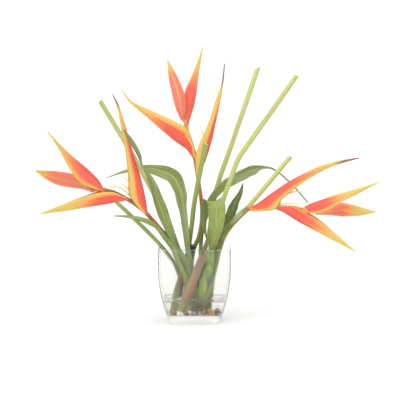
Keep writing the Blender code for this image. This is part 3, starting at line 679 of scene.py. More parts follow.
def heliconia_bract(shades):
    """Waxy bract tissue: a dye-like red heart, golden lips and fine parallel veins, with painted
    highlights along the veins and painted light over the bracts whose keel faces the viewer."""
    made, node = new_material("waxy_heliconia_bract")
    across = node("stored", "across")
    share = node("stored", "along")
    tint = node("stored", "tint")
    lane = node("stored", "lane")
    gold = node("stored", "gold")
    uneven = streaks(node, across, share, 6.0, 2.0, tint)
    side = node("plus", node("times_plus", uneven, 0.24, -0.12), across)
    past = node("plus", side, node("times_plus", node("stored", "lip"), -1.0, 0.5))
    lips = node("ramp", past, [(0.38, 1.0), (0.62, 0.0)])
    edge = node("times", node("ramp", side, [(0.02, 1.0), (0.2, 0.0)]), gold)
    band = node("times", lips, node("times_plus", edge, -1.0, 1.0))
    reach = node("plus", node("times_plus", uneven, 0.34, 0.33), share)
    reach = node("plus", reach, node("times", node("stored", "fire"), -1.0))
    stretch = node("ramp", reach, [(0.34, 1.0), (0.68, 0.0)])
    root_end = node("ramp", share, [(0.0, 0.1), (0.13, 1.0)])
    heat = node("times", node("times", band, stretch), root_end)
    green = node("ramp", streaks(node, across, share, 3.0, 3.0, tint), [(0.45, 0.0), (0.7, 0.75)])
    pale = node("mix", green, shades.margin, shades.keel)
    warm = node("ramp", heat, [(0.0, 0.0), (0.42, 1.0)])
    hot = node("ramp", heat, [(0.34, 0.0), (0.8, 1.0)])
    paint = node("mix", hot, node("mix", warm, pale, shades.glow), shades.heart)
    deep = node("times", node("ramp", across, [(0.06, 0.8), (0.5, 0.0)]), hot)
    deep = node("times", deep, node("times_plus", gold, -1.0, 1.0))
    paint = node("mix", deep, paint, shades.deep)
    keeled = node("stored", "keeled")
    # Painted light: pale pink laid over the red of the bracts whose keel faces the viewer, to
    # lighten them
    paint = node("mix", node("times", keeled, node("times", hot, 0.45)), paint, shades.bloom)
    line = node("times", node("ramp", side, [(0.0, 0.9), (0.09, 0.0)]), keeled)
    paint = node("mix", line, paint, shades.keel)
    far = node("times", node("ramp", share, [(0.6, 0.0), (0.92, 0.75)]), green)
    paint = node("mix", far, paint, shades.tip)
    dried = node("times", node("ramp", share, [(0.80, 0.0), (0.88, 1.0)]), node("stored", "dry"))
    paint = node("mix", dried, paint, shades.thread)
    paint = node("mix", node("times", node("stored", "inside"), 0.3), paint, shades.glow)
    fine = streaks(node, lane, share, 1.1, 5.0, tint, 2.0)
    # Painted highlights: pale pink streaks along the fine veins, strongest where the red is hottest
    light = node("times", node("ramp", fine, [(0.46, 0.0), (0.74, 0.5)]), hot)
    paint = node("mix", light, paint, shades.bloom)
    dull = node("mix", 0.5, paint, shades.thread)
    paint = lay(node, paint, dull, fine, (0.24, 0.3), (0.45, 0.0))
    ribbed = node("sine", node("times", lane, math.tau / BRACT_VEINS))
    height = node("times_plus", ribbed, 0.35, fine)
    return surfaced(made, {
        "Base Color": paint,
        "Roughness": node("ramp", fine, [(0.3, 0.36), (0.8, 0.52)]),
        "Subsurface Weight": 0.12,
        "Subsurface Radius": (1.0, 0.4, 0.2),
        "Subsurface Scale": 0.0015,
        "Coat Weight": 0.1,
        "Coat Roughness": 0.3,
        "Normal": node("bump", 0.4, 0.0003, height),
    })


def strap_leaf(shades):
    """Fresh strap leaf: satin cuticle with a painted greyish sheen, a pale rib, parallel veins and
    painted shade in its folds.
    """
    made, node = new_material("strap_leaf")
    across = node("stored", "across")
    share = node("stored", "along")
    lane = node("stored", "lane")
    tint = node("stored", "tint")
    broad = streaks(node, across, share, 2.4, 3.5, tint)
    # How dark the blade is, given for each piece and made uneven by broad noise
    age = node("plus", node("times_plus", broad, 0.9, -0.45), node("stored", "age"))
    paint = node("mix", node("ramp", age, [(0.0, 0.0), (1.0, 1.0)]), shades.face, shades.shade)
    folds_and_painted_shade = streaks(node, lane, share, 0.42, 2.5, tint, 2.0)
    # Painted shade: darker green in the low lanes of the folds, which the same noise shapes in the
    # bump
    paint = lay(node, paint, shades.shade, folds_and_painted_shade, (0.32, 0.5), (0.5, 0.0))
    # Painted sheen: greyish highlight patches, as strong as each blade's stored amount says
    bloom = streaks(node, across, share, 1.6, 4.0, node("times_plus", tint, 1.0, 3.0))
    bloom = node("times", node("ramp", bloom, [(0.46, 0.0), (0.7, 0.75)]), node("stored", "bloom"))
    paint = node("mix", bloom, paint, shades.bloom)
    vein = node("sine", node("times", lane, math.tau / (shades.vein / MM)))
    paint = lay(node, paint, shades.shade, vein, (0.0, 0.0), (1.0, 0.16))
    fine = streaks(node, lane, share, 1.6, 5.0, tint, 2.0)
    paint = lay(node, paint, shades.rib, fine, (0.45, 0.0), (0.8, 0.5))
    rib = node("size", across)
    paint = lay(node, paint, shades.rib, rib, (0.0, 0.55), (0.04, 0.4), (0.1, 0.0))
    paint = lay(node, paint, shades.rib, rib, (0.93, 0.0), (1.0, 0.4))
    paint = node("mix", node("times", node("stored", "inside"), 0.75), paint, shades.under)
    paint = lay(node, paint, linear("#7C7440"), share, (0.96, 0.0), (1.0, 0.6))
    height = node("times_plus", vein, 0.5, fine)
    height = node("times_plus", folds_and_painted_shade, 2.5, height)
    return surfaced(made, {
        "Base Color": paint,
        "Roughness": node("ramp", broad, [(0.3, 0.36), (0.8, 0.5)]),
        "Subsurface Weight": 0.08,
        "Subsurface Radius": (0.5, 1.0, 0.2),
        "Subsurface Scale": 0.001,
        "Normal": node("bump", 0.5, 0.0004, height),
    })


def round_streaks(node, turns, length_scale, detail=3.0):
    """Noise drawn out along a tube, without a seam round it."""
    apart = node("apart", node("stored_way", "ring"))
    tint = node("times", node("stored", "tint"), TUBES_APART)
    share = node("times_plus", node("stored", "along"), length_scale, tint)
    place = node("point", node("times", apart[0], turns), node("times", apart[1], turns), share)
    return node("noise", place, 1.0, detail)


def cut_green_stem(shades):
    """Fresh green stem, smooth and lightly ribbed, with tan patches and a pale wet cut face."""
    made, node = new_material("cut_green_stem")
    share = node("stored", "along")
    ripe = node("stored", "ripe")
    grown = node("times", ripe, node("ramp", share, [(0.2, 0.0), (0.5, 0.8), (1.0, 1.0)]))
    paint = node("mix", grown, shades.dark, shades.light)
    long = round_streaks(node, 1.8, 4.0)
    deeper = node("mix", 0.7, paint, shades.dark)
    paint = lay(node, paint, deeper, long, (0.42, 0.0), (0.66, 0.6))
    patch = round_streaks(node, 0.9, 7.0, 1.0)
    patch = node("times", node("ramp", patch, [(0.46, 0.0), (0.64, 0.85)]), ripe)
    paint = node("mix", patch, paint, shades.blush)
    fine = round_streaks(node, 2.6, 3.0, 2.0)
    paint = lay(node, paint, shades.pith, fine, (0.45, 0.0), (0.75, 0.2))
    pith = node("stored", "pith")
    paint = lay(node, paint, shades.pith, pith, (0.1, 0.0), (0.5, 1.0))
    return surfaced(made, {
        "Base Color": paint,
        "Roughness": node("ramp", fine, [(0.3, 0.36), (0.8, 0.5)]),
        "Subsurface Weight": 0.1,
        "Subsurface Radius": (0.6, 1.0, 0.2),
        "Subsurface Scale": 0.0015,
        "Normal": node("bump", 0.05, 0.0002, fine),
    })


def flower_rachis(shades):
    """Flower stem: green in the vase, brown above it and orange between the bracts."""
    made, node = new_material("flower_rachis")
    share = node("stored", "along")
    fine = round_streaks(node, 3.0, 6.0)
    height = node("times_plus", fine, 0.24, share)
    paint = node(
        "ramp",
        node("times_plus", height, 1.0, -0.12),
        [
            (0.0, shades.foot),
            (0.30, shades.foot),
            (0.46, shades.neck),
            (0.62, shades.rachis),
            (0.9, shades.rachis),
            (1.0, shades.floret),
        ],
    )
    red = node("times", node("ramp", share, [(0.42, 0.0), (0.58, 1.0)]), node("stored", "blush"))
    red = node("times", red, node("ramp", fine, [(0.36, 1.0), (0.62, 0.45)]))
    paint = node("mix", red, paint, linear("#9A4630"))
    green = node("ramp", round_streaks(node, 1.0, 3.0, 2.0), [(0.52, 0.0), (0.66, 0.5)])
    paint = node("mix", green, paint, shades.foot)
    return surfaced(made, {
        "Base Color": paint,
        "Roughness": node("ramp", fine, [(0.3, 0.38), (0.8, 0.55)]),
        "Subsurface Weight": 0.08,
        "Subsurface Scale": 0.001,
        "Normal": node("bump", 0.4, 0.0004, fine),
    })


def thin_floret(shades):
    """Floret: a thin fleshy tube, orange where it leaves the bract and pale yellow at its tip."""
    made, node = new_material("thin_floret")
    share = node("stored", "along")
    ends = (linear("#E8924A"), linear("#F4E08E"))
    paint = node("ramp", share, [(0.0, ends[0]), (0.25, shades.floret), (1.0, ends[1])])
    fine = round_streaks(node, 2.0, 5.0)
    return surfaced(made, {
        "Base Color": paint,
        "Roughness": 0.42,
        "Normal": node("bump", 0.2, 0.0002, fine),
    })


def thick_stalk(name, bark, flank, dark, green_foot, dark_top):
    """Old stalk: mottled brown bark, green on its flanks and foot, scarred, with a fibrous cut."""
    made, node = new_material(name)
    share = node("stored", "along")
    long = round_streaks(node, 1.6, 3.0, 4.0)
    patch = round_streaks(node, 1.2, 7.0, 5.0)
    ahead = node("apart", node("places")["Normal"])["Y"]
    flanks = node("plus", ahead, node("times_plus", patch, 1.2, -0.6))
    flanks = node("ramp", node("times_plus", flanks, 0.5, 0.5), [(0.08, 0.0), (0.3, 1.0)])
    paint = node("mix", flanks, bark, flank)
    paint = lay(node, paint, dark, long, (0.48, 0.0), (0.66, 0.65))
    paint = lay(node, paint, linear("#A8773F"), patch, (0.52, 0.0), (0.66, 0.55))
    foot = node("plus", share, node("times_plus", long, 0.2, -0.1))
    fade = ((0.0, 1.0), (green_foot + 0.01, 0.9), (green_foot + 0.2, 0.0))
    paint = lay(node, paint, flank, foot, *fade)
    upper = node("plus", node("times_plus", long, 0.3, -0.15), share)
    upper = node("ramp", upper, [(0.5, 0.0), (0.66, 1.0)])
    paint = node("mix", node("times", upper, dark_top), paint, dark)
    speck = round_streaks(node, 7.0, 60.0, 3.0)
    paint = lay(node, paint, dark, speck, (0.56, 0.0), (0.68, 0.6))
    pith = node("ramp", node("stored", "pith"), [(0.1, 0.0), (0.5, 1.0)])
    paint = node("mix", pith, paint, linear("#9A6B47"))
    rings = node("sine", node("times", share, math.tau / STALK_SCARS))
    scar = node("ramp", rings, [(0.92, 0.0), (1.0, 1.0)])
    height = node("times_plus", scar, 0.5, speck)
    height = node("plus", long, height)
    return surfaced(made, {
        "Base Color": paint,
        "Roughness": node("ramp", long, [(0.3, 0.5), (0.8, 0.75)]),
        "Normal": node("bump", 0.5, 0.0006, height),
    })


def leaf_base(name, green, streak, dry):
    """Fleshy leaf base of the bulb, streaked pale along its veins; a dry one is papery brown. A
    pale margin runs along its edges, with a painted shadow line at the very edge.
    """
    made, node = new_material(name)
    share = node("stored", "along")
    across = node("stored", "across")
    tint = node("stored", "tint")
    fine = streaks(node, across, share, 7.0, 2.0, tint, 4.0)
    paint = node("mix", node("ramp", fine, [(0.40, 0.0), (0.66, 1.0)]), green, streak)
    soil = streaks(node, across, share, 3.0, 4.0, tint, 5.0)
    paint = lay(node, paint, dry, soil, (0.54, 0.0), (0.75, 0.45))
    rim = node("size", across)
    paint = lay(node, paint, streak, rim, (0.78, 0.0), (0.9, 0.6))
    # Painted shadow: a dark line along the very edges of the leaf base
    paint = lay(node, paint, dry, rim, (0.88, 0.0), (0.97, 0.9))
    return surfaced(made, {
        "Base Color": paint,
        "Roughness": node("ramp", fine, [(0.3, 0.4), (0.8, 0.6)]),
        "Normal": node("bump", 0.5, 0.0006, fine),
    })


def bulb_heart(shades):
    """Bulb under its leaf bases: painted dark grey-green shade between them and a fresh mottled
    neck above.
    """
    made, node = new_material("bulb_heart")
    share = node("stored", "along")
    fine = round_streaks(node, 3.0, 5.0, 4.0)
    patch = round_streaks(node, 1.5, 7.0, 4.0)
    neck = node("mix", node("ramp", patch, [(0.4, 0.0), (0.62, 1.0)]), shades.green, shades.streak)
    neck = lay(node, neck, linear("#6F8A3C"), fine, (0.5, 0.0), (0.7, 0.7))
    # Painted shade: the dark grey-green of the body, seen in the gaps between the leaf bases
    dark = node("mix", fine, linear("#465A52"), linear("#6B8076"))
    above = node("plus", share, node("times_plus", fine, 0.1, -0.05))
    paint = node("mix", node("ramp", above, [(0.52, 0.0), (0.6, 1.0)]), dark, neck)
    paint = lay(node, paint, shades.green, share, (0.2, 1.0), (0.3, 0.0))
    return surfaced(made, {
        "Base Color": paint,
        "Roughness": 0.45,
        "Normal": node("bump", 0.5, 0.0005, fine),
    })


def wet_root(shade):
    """Wet rootlets: reddish brown, paler where the skin has worn off."""
    made, node = new_material("wet_root")
    place = node("places")["Object"]
    patch = node("noise", place, 260.0, 4.0)
    paint = node("mix", node("ramp", patch, [(0.4, 0.0), (0.66, 0.9)]), shade, linear("#B98650"))
    paint = lay(node, paint, linear("#4A2416"), patch, (0.3, 0.8), (0.45, 0.0))
    return surfaced(made, {
        "Base Color": paint,
        "Roughness": 0.45,
        "Normal": node("bump", 0.5, 0.0003, patch),
    })


def river_stone(name, code, band_code):
    """Water-worn stone: smooth satin skin with banding and millimetre specks of other grains."""
    made, node = new_material("river_stone_" + name)
    place = node("places")["Object"]
    slow = node("noise", place, 120.0, 5.0, 1.2)
    speck = node("noise", place, 900.0, 2.0)
    band = node("ramp", slow, [(0.42, 0.0), (0.64, 1.0)])
    paint = node("mix", band, linear(code), linear(band_code))
    paint = lay(node, paint, linear("#4E463C"), speck, (0.58, 0.0), (0.7, 0.5))
    return surfaced(made, {
        "Base Color": paint,
        "Roughness": node("ramp", slow, [(0.3, 0.38), (0.8, 0.6)]),
        "Normal": node("bump", 0.4, 0.0004, speck),
    })


# Each bare stem: its route from the foot to the cut top, its radius low and high, its top's slant,
# and how ripe it is
CUT_STEMS = {
    "cut_stem_far_left": (
        [(-24, -216, 14), (-26, -184, 8), (-28, -150, 5), (-44, -110, 4), (-66, -50, 12),
         (-89.5, 6, 16), (-129, 80, 18), (-150, 116, 16), (-199, 197, 12)],
        (4.3, 4.9), 0.3, 0.65,
    ),
    "cut_stem_low_left": (
        [(-39, -198, 41), (-37, -176, 41), (-42, -150, 35), (-52, -126, 17), (-63, -110, 1),
         (-76, -94.5, -13), (-91, -78, -18), (-130, -39, -14), (-166, -5, -6), (-178, 8, -4)],
        (4.0, 4.1), 0.0, 0.25,
    ),
    "cut_stem_front": (
        [(-28, -218, 38), (-28, -176, 38), (-29, -144, 37), (-26, -112, 31), (-21, -84, 26),
         (-16, -46, 15), (-12, -10, 2), (-3, 40, -14), (12, 112, -17)],
        (4.3, 4.7), -0.25, 0.15,
    ),
    "cut_stem_tall": (
        [(-12, -218, 43), (-10, -186, 43), (-6, -156, 43), (0, -128, 43), (9, -100, 43),
         (17, -76, 43.5), (21, -50, 44.5), (25, -14, 46), (37.5, 38, 50), (58, 96, 53),
         (76.5, 150, 56), (96, 206, 58), (115, 262, 60)],
        (4.8, 5.0), 1.0, 0.9,
    ),
    "cut_stem_bent": (
        [(4, -218, 30), (12, -170, 28), (22, -130, 27), (34, -72, 24), (44, -10, 20),
         (62, 44, 16), (75.5, 80, 12), (91, 104, 8), (142.5, 176, 0), (192.5, 248, -4)],
        (4.3, 5.2), 0.1, 1.0,
    ),
    "cut_stem_right": (
        [(16, -218, 34), (22, -180, 31), (30, -140, 26), (45, -82, 18), (67, -46, 10),
         (100, -10, 6), (142, 40, 8), (180.5, 86.5, 10)],
        (4.3, 4.8), 0.45, 0.9,
    ),
}

# Each flower stem: its route from the foot to the last bract, and its florets
FLOWER_STEMS = {
    "flower_stem_left": (
        [(-20, -216, 2), (-24, -180, -2), (-32, -150, -7), (-48, -98, -12), (-60, -76, -16),
         (-74, -64, -20), (-106, -28, -30), (-130, -8, -32), (-150, 4, -35), (-170, 14.5, -38),
         (-192, 20.5, -42), (-204, 20, -43), (-214, 19, -43)],
        (4.3, 4.3, 4.0, 3.6, 2.6),
        [
            [(-132, -4, -33), (-142, 10, -35), (-158, 24, -38), (-178, 27.5, -40), (-192, 24, -41)],
            [(-130, -6, -33), (-136, 10, -30), (-146, 24, -27), (-158, 33, -25)],
            [(-130, -4, -33), (-136, 20, -30), (-144, 38, -29), (-158, 48, -28)],
        ],
    ),
    "flower_stem_centre": (
        [(-14, -218, 33), (-16, -176, 33), (-17, -146, 33), (-16, -120, 32), (-11.5, -96, 28),
         (-2, -72, 20), (4, -36, 12), (2.5, 0, 9), (-2, 30, 6), (-6, 56, 5), (-12, 90, 7),
         (-20, 120, 8), (-26, 146, 8), (-30, 158, 6)],
        (4.2, 4.2, 3.9, 3.6, 2.6),
        [
            [(-5, 62, 5), (-7, 78, 3), (-12, 92, -1), (-17, 112, -8), (-30, 130, -10)],
            [(-4, 58, 5), (2, 90, 2), (7, 116, 0), (5, 134, -1), (0, 148, -2)],
        ],
    ),
    "flower_stem_right": (
        [(18, -218, 22), (22, -180, 20), (26, -152, 14), (32, -129, 12), (38, -100, 8),
         (47, -72, 2), (69, -45, -4), (92, -22, -10), (100, -18, -12), (130, -16, -16),
         (160, -14, -20), (208, -19, -26), (232, -25, -24)],
        (4.3, 4.3, 4.0, 3.6, 2.8),
        [
            [(136, -16, -17), (154, -10, -21), (172, -7, -28), (190, -8, -33), (204, -13, -36),
             (215, -22, -37)],
            [(132, -16, -16), (152, -4, -17), (170, 9, -19), (184, 15.5, -20), (198, 17, -20),
             (212, 15, -20)],
        ],
    ),
}
FLORET_RADII = (1.4, 1.4, 1.2, 0.6)

# Each bract: its keel, its lips' middle line, and half its width at stations along it
BRACTS = {
    "bract_left_1": (
        [(-104, -30, -30), (-109, 4, -30), (-118, 44, -27), (-132, 90, -22),
         (-145.5, 138, -16), (-160.5, 186, -10), (-173.5, 211, -6)],
        [(-114, -25, -30), (-139, 6, -32), (-143, 48, -27), (-148.5, 96, -22),
         (-157, 144, -16), (-165, 185, -10), (-175, 210, -6)],
        (6.2, 8.0, 10.0, 9.0, 6.0, 2.4, 0.9),
    ),
    "bract_left_2": (
        [(-146, -1, -35), (-164, -4, -38), (-194, -10, -42), (-230, -15.5, -45),
         (-270, -22.5, -48), (-320, -28.5, -50)],
        [(-152, 6, -35), (-176, 16.5, -39), (-204, 15.5, -43), (-234, 6, -46),
         (-268, -6.5, -48), (-320, -27, -50)],
        (6.0, 7.5, 9.0, 8.0, 4.5, 0.8),
    ),
    "bract_left_3": (
        [(-190, 17, -42), (-201.5, 38.5, -44), (-224, 62, -47), (-250, 83.5, -50),
         (-278, 110, -52), (-304, 138, -54)],
        [(-198, 19.5, -42), (-218, 25.5, -44), (-241, 37, -47), (-261, 63, -50),
         (-284, 105, -52), (-305.5, 137, -54)],
        (5.2, 7.5, 9.0, 8.0, 4.5, 0.9),
    ),
    "bract_left_4": (
        [(-212, 18.6, -48), (-232, 28.5, -29), (-256, 37, -24), (-280, 42, -26),
         (-306, 50, -33), (-330, 59, -40)],
        [(-213, 18.6, -38), (-234, 29.5, -14), (-260, 40, -9), (-284, 45, -12),
         (-308, 52, -23), (-330, 59, -36)],
        (4.2, 8.5, 17.5, 18.0, 11.0, 0.9),
    ),
    "bract_centre_1": (
        [(-3, 46, 5), (12, 80, 4), (24, 120, 2), (32, 156, 0),
         (40, 194, -2), (46.5, 232, -4), (50, 272, -5)],
        [(-8, 52, 5), (-8, 88, 4), (-1, 113, 2), (18, 158, 0),
         (30.5, 197, -2), (42, 229, -4), (48, 271, -5)],
        (5.8, 7.2, 8.0, 7.0, 4.5, 2.0, 0.9),
    ),
    "bract_centre_2": (
        [(-16.5, 86, 7), (-28, 101.5, 7), (-50, 117, 4), (-80, 142, 1),
         (-110, 168, -2), (-140, 194, -6), (-156, 218, -8)],
        [(-5, 88, 7), (-23.5, 138, 8), (-52, 156.5, 4), (-82, 171, 1),
         (-112, 184.5, -2), (-138, 198.5, -6), (-154, 219, -8)],
        (5.6, 8.0, 10.0, 8.5, 5.5, 2.4, 0.9),
    ),
    "bract_centre_3": (
        [(-35, 161, -1), (-37.6, 184, -9), (-43, 212, -13), (-53, 243, -11),
         (-60, 264, -7), (-65, 280, -4)],
        [(-35, 163, 8), (-38.6, 186, 1), (-44, 212, -1), (-54, 243, -1),
         (-60, 264, -2), (-65, 280, -3)],
        (4.4, 11.5, 15.5, 12.0, 5.5, 0.9),
    ),
    "bract_centre_4": (
        [(-22.5, 150, 8), (-19, 164, 14), (-11.5, 188, 16), (-6, 220, 14),
         (-1.5, 256, 10), (7, 308, 4)],
        [(-31.5, 147, 8), (-30, 176, 15), (-30, 214, 16), (-18.5, 242, 14),
         (-5, 274, 10), (6.5, 308, 4)],
        (5.0, 8.0, 9.0, 7.0, 3.5, 0.8),
    ),
    "bract_right_1": (
        [(101, -13, -12), (116, -6, -14), (140, 11.5, -17), (174, 35, -20),
         (206, 52.5, -21), (244, 69.5, -22), (284, 79.5, -23), (318, 85, -24)],
        [(106, -22, -12), (150, -18, -18), (164, 0.5, -18), (186, 20, -20),
         (214, 40, -21), (250, 60.5, -22), (284, 73.5, -23), (318, 83, -24)],
        (6.0, 9.4, 10.4, 9.0, 7.0, 4.5, 2.2, 0.9),
    ),
    "bract_right_2": (
        [(153, -19.5, -20), (168, -25.5, -22), (194, -42, -24), (224, -58.5, -26),
         (264, -79.5, -28), (313, -105, -30)],
        [(156, -11, -20), (190, -12.5, -23), (211, -23, -24), (238, -39, -26),
         (273, -69, -28), (313, -104, -30)],
        (5.4, 7.5, 9.0, 8.0, 4.5, 0.8),
    ),
    "bract_right_3": (
        [(208, -14, -26), (220, -7.5, -29), (244, 1, -33), (272, 11, -34),
         (312, 22, -34), (360, 37, -34)],
        [(213, -24, -26), (240, -26.5, -33), (262, -17, -35), (282, -4.5, -34),
         (316, 12.5, -34), (360, 36, -34)],
        (5.4, 6.4, 7.4, 7.2, 4.5, 0.8),
    ),
    "bract_right_4": (
        [(232, -26.5, -26.5), (255, -26, -2), (280, -20.5, -1), (302, -21, -6),
         (326, -23.5, -16), (352, -23.5, -22)],
        [(233, -26.5, -16.5), (256, -25, 10), (280, -19, 12), (302, -20, 6),
         (326, -23, -7), (352, -23.5, -19)],
        (3.2, 5.4, 17.0, 16.0, 10.0, 0.9),
    ),
}

# Each sheath: the stem that it wraps, the stretch of it, its open side's opposite, and its flare
SHEATHS = {
    "sheath_left": ("flower_stem_left", 0.27, 0.41, (-0.8, 0.0, -0.6), 1.0),
    "sheath_right": ("flower_stem_right", 0.40, 0.62, (-0.7, 0.0, 0.7), 3.0),
}
SHEATH_WALL_OUT = 2.2
SHEATH_HALF = 6.1
SHEATH_SPANS = 4
SHEATH_RINGS = 41
# Half the width that a sheath's veins are spaced over
SHEATH_LANES = 12.0

# Each leaf: stations of across, up, depth, half width, and the way that its width runs
LEAVES = {
    "leaf_front": (
        [(21.4, -99, -8.2, 4.8, (1, 0, 0)), (27, -82, -14, 9.0, (1, 0, 0)),
         (32, -56, -20, 14.0, (1, 0, 0)), (33, -30, -22, 17.0, (1, 0.1, 0)),
         (32, -12, -21, 18.0, (1, 0.2, 0)), (25, -4, -14, 17.5, (1, 0.3, 0)),
         (16, -8, -3, 13.0, (1, 0.4, 0)), (9, -24, 4, 9.0, (0.9, 0.5, 0)),
         (9, -48, 6, 6.0, (0.8, 0.6, 0)), (13, -77, 6, 0.8, (0.8, 0.6, 0))],
        1.2,
    ),
    "leaf_arch_left": (
        [(-10, -218, 22, 3.5, (1, 0, 0)), (-14, -184, 16, 4.0, (1, 0, 0)),
         (-16, -140, 0, 4.5, (1, 0.3, 0)), (-25, -98, -1, 5.0, (1, 0.3, 0)),
         (-30, -56, 8, 7.5, (1, 0.5, 0.1)), (-37, -12, 18, 10.0, (0.9, 0.6, 0.2)),
         (-41.5, 19, 26, 13.0, (0.7, 0.5, 0.5)), (-53.5, 45, 36, 15.5, (0.55, 0.4, 0.8)),
         (-78, 56, 45, 12.5, (0.2, 0.5, 0.9)), (-110, 62, 50, 8.5, (0, 0.6, 0.8)),
         (-150, 56, 52, 4.5, (0, 0.8, 0.6)), (-187, 44, 52, 0.8, (0, 0.9, 0.5))],
        2.0,
    ),
    "leaf_twisted": (
        [(-18, -200, -8, 3.5, (1, 0, 0)), (-19, -172, -12, 4.0, (1, 0, 0)),
         (-27, -126, -19, 4.8, (1, 0, 0)), (-43, -100, -22, 5.5, (1, 0, 0.3)),
         (-52, -80, -22, 7.0, (1, 0, 0.3)), (-65, -50, -20, 9.5, (1, 0.1, 0.4)),
         (-76, -22, -16, 11.0, (1, 0.2, 0.4)), (-87, 8, -14, 10.0, (0.9, 0.4, 0.4)),
         (-97, 34, -18, 8.5, (0.7, 0.6, 0.3)), (-117, 70, -32, 5.0, (-0.2, 1, 0)),
         (-123.5, 92, -42, 4.8, (-0.8, 0.5, -0.3)), (-138, 118, -44, 4.6, (-1, 0.2, -0.5)),
         (-153, 141, -42, 0.8, (-1, 0.1, -0.6))],
        1.6,
    ),
    "leaf_arch_right": (
        [(-2, -210, 26, 3.5, (0.5, 1, 0)), (-1, -140, 24, 4.0, (0.8, 0.6, 0)),
         (1, -100, 27, 4.0, (1, 0.3, 0)), (3, -66, 29, 4.6, (1, 0.3, 0)),
         (10, -30, 29, 6.5, (1, 0.3, 0)), (24, 4, 30, 7.5, (0.9, 0.3, -0.3)),
         (47, 29, 33, 9.0, (0.7, 0.3, -0.7)), (68, 42, 36, 10.5, (0.5, 0.3, -0.8)),
         (86, 52, 40, 12.0, (0.4, 0.3, -0.9)), (104, 60, 44, 10.5, (0.2, 0.4, -0.9)),
         (126, 65.5, 49, 3.6, (0, 0.4, -0.9)), (150, 60, 52, 1.8, (-0.3, 0.5, -0.9)),
         (184, 31, 52, 1.8, (-0.5, 0.5, -0.8)), (216, -5, 50, 1.2, (-0.5, 0.5, -0.8))],
        2.0,
    ),
    "leaf_dark_right": (
        [(22, -196, 42, 3.5, (1, 0, 0)), (26, -160, 40, 4.0, (1, 0, 0)),
         (32, -124, 38, 4.0, (1, 0, 0)), (41, -84, 36, 5.0, (1, 0.2, 0)),
         (50, -52, 33, 7.5, (1, 0.3, 0)), (61, -26, 31, 10.5, (1, 0.3, -0.2)),
         (69, -6, 29, 8.5, (1, 0.4, -0.2)), (80, 14, 27, 5.0, (1, 0.4, -0.3)),
         (86, 34, 26, 0.8, (1, 0.4, -0.3))],
        1.2,
    ),
    "leaf_low_left": (
        [(-17, -207, -15, 3.4, (1, 0, 0)), (-20, -186, -17, 3.8, (1, 0, 0)),
         (-28, -162, -20, 4.2, (1, 0, 0.2)),
         (-36, -140, -26, 4.8, (1, 0, 0.3)), (-46, -116, -31, 5.0, (1, 0, 0.4)),
         (-55, -96, -34, 5.0, (1, 0, 0.5)), (-72, -74, -37, 4.2, (0.8, 0, 0.7)),
         (-86, -55, -38, 4.0, (0.6, 0, 0.8)), (-102, -44.5, -38, 5.2, (0.4, 0.2, 0.9)),
         (-124, -37, -36, 4.0, (0.1, 0.3, 1)), (-148, -33, -34, 2.4, (0, 0.3, 1)),
         (-172, -32, -32, 0.8, (0, 0.3, 1))],
        0.8,
    ),
}

STALK_FRONT = (
    [(-40, -223, -36), (-28, -196, -35), (-16, -169, -33), (6.5, -110, -28)],
    [8.2, 8.4, 8.6, 7.6],
)
STALK_BACK = (
    [(-55, -219, 30), (-44, -180, 26), (-33, -146, 21), (-23.5, -118, 16), (-15, -90, 13)],
    [7.6, 8.2, 8.2, 8.0, 7.6],
)

BULB_ROUTE = [(4, -211, 0), (4, -204, 0), (4, -192, 0), (6, -176, 0), (9, -160, 0),
              (13, -146, -2), (18, -130, -4), (20, -114, -6), (21, -101, -8)]
BULB_RADII = [4.0, 9.5, 15.0, 18.5, 17.0, 12.5, 9.5, 8.4, 7.6]

LOOP_FROM = 196.0
LOOP_SPREAD = 46.0
LOOP_FOOT = 21.0
LOOP_LEAST = 0.65
# A loop's reach from the bulb's middle, and its height over its foot
LOOP_WAY = [(5.0, 1.0), (13.0, 0.0), (17.5, 5.0), (18.5, 16.0), (16.5, 22.0)]

# Each pebble: its place and its height off the floor, its half sizes, its turn in degrees and its
# two colours
PEBBLES = {
    "pebble_red": ((-15, -38, 0), (6.2, 5.0, 4.0), 10, "#A55A50", "#8A4740"),
    "pebble_grey": ((0, -37, 0), (6.4, 5.0, 5.0), -15, "#9A9C90", "#7F8278"),
    "pebble_pink": ((10.5, -38, 0), (3.4, 4.4, 5.0), 5, "#C9A996", "#B08E7C"),
    "pebble_olive": ((19, -36, 0), (4.2, 5.0, 6.6), 0, "#97844F", "#B29F6C"),
    "pebble_tan": ((33.5, -37, 0), (9.4, 6.0, 4.0), 4, "#C08D48", "#A06F33"),
    "pebble_ochre": ((31.5, -35.5, 7.9), (8.2, 5.6, 3.4), -6, "#CC9B52", "#B27A38"),
    "pebble_dark": ((45.6, -18, 0), (6.8, 6.4, 8.6), 0, "#6B674A", "#4F4C38"),
    "pebble_pale": ((33.5, -9, 0), (6.0, 4.6, 4.2), -20, "#CDB994", "#B79E76"),
    "pebble_brown": ((43, -3, 0), (4.0, 5.6, 3.8), 15, "#80623F", "#5F472F"),
    "pebble_white": ((40, 9, 0), (5.4, 5.0, 4.4), 40, "#D3CBBB", "#B9AF9C"),
    "pebble_cream": ((-6, -26, 0), (5.2, 4.0, 3.2), 25, "#DCCBAA", "#C3AE88"),
    "pebble_rose": ((-40, -22, 0), (5.6, 5.0, 4.4), 12, "#B97468", "#9C5C50"),
}

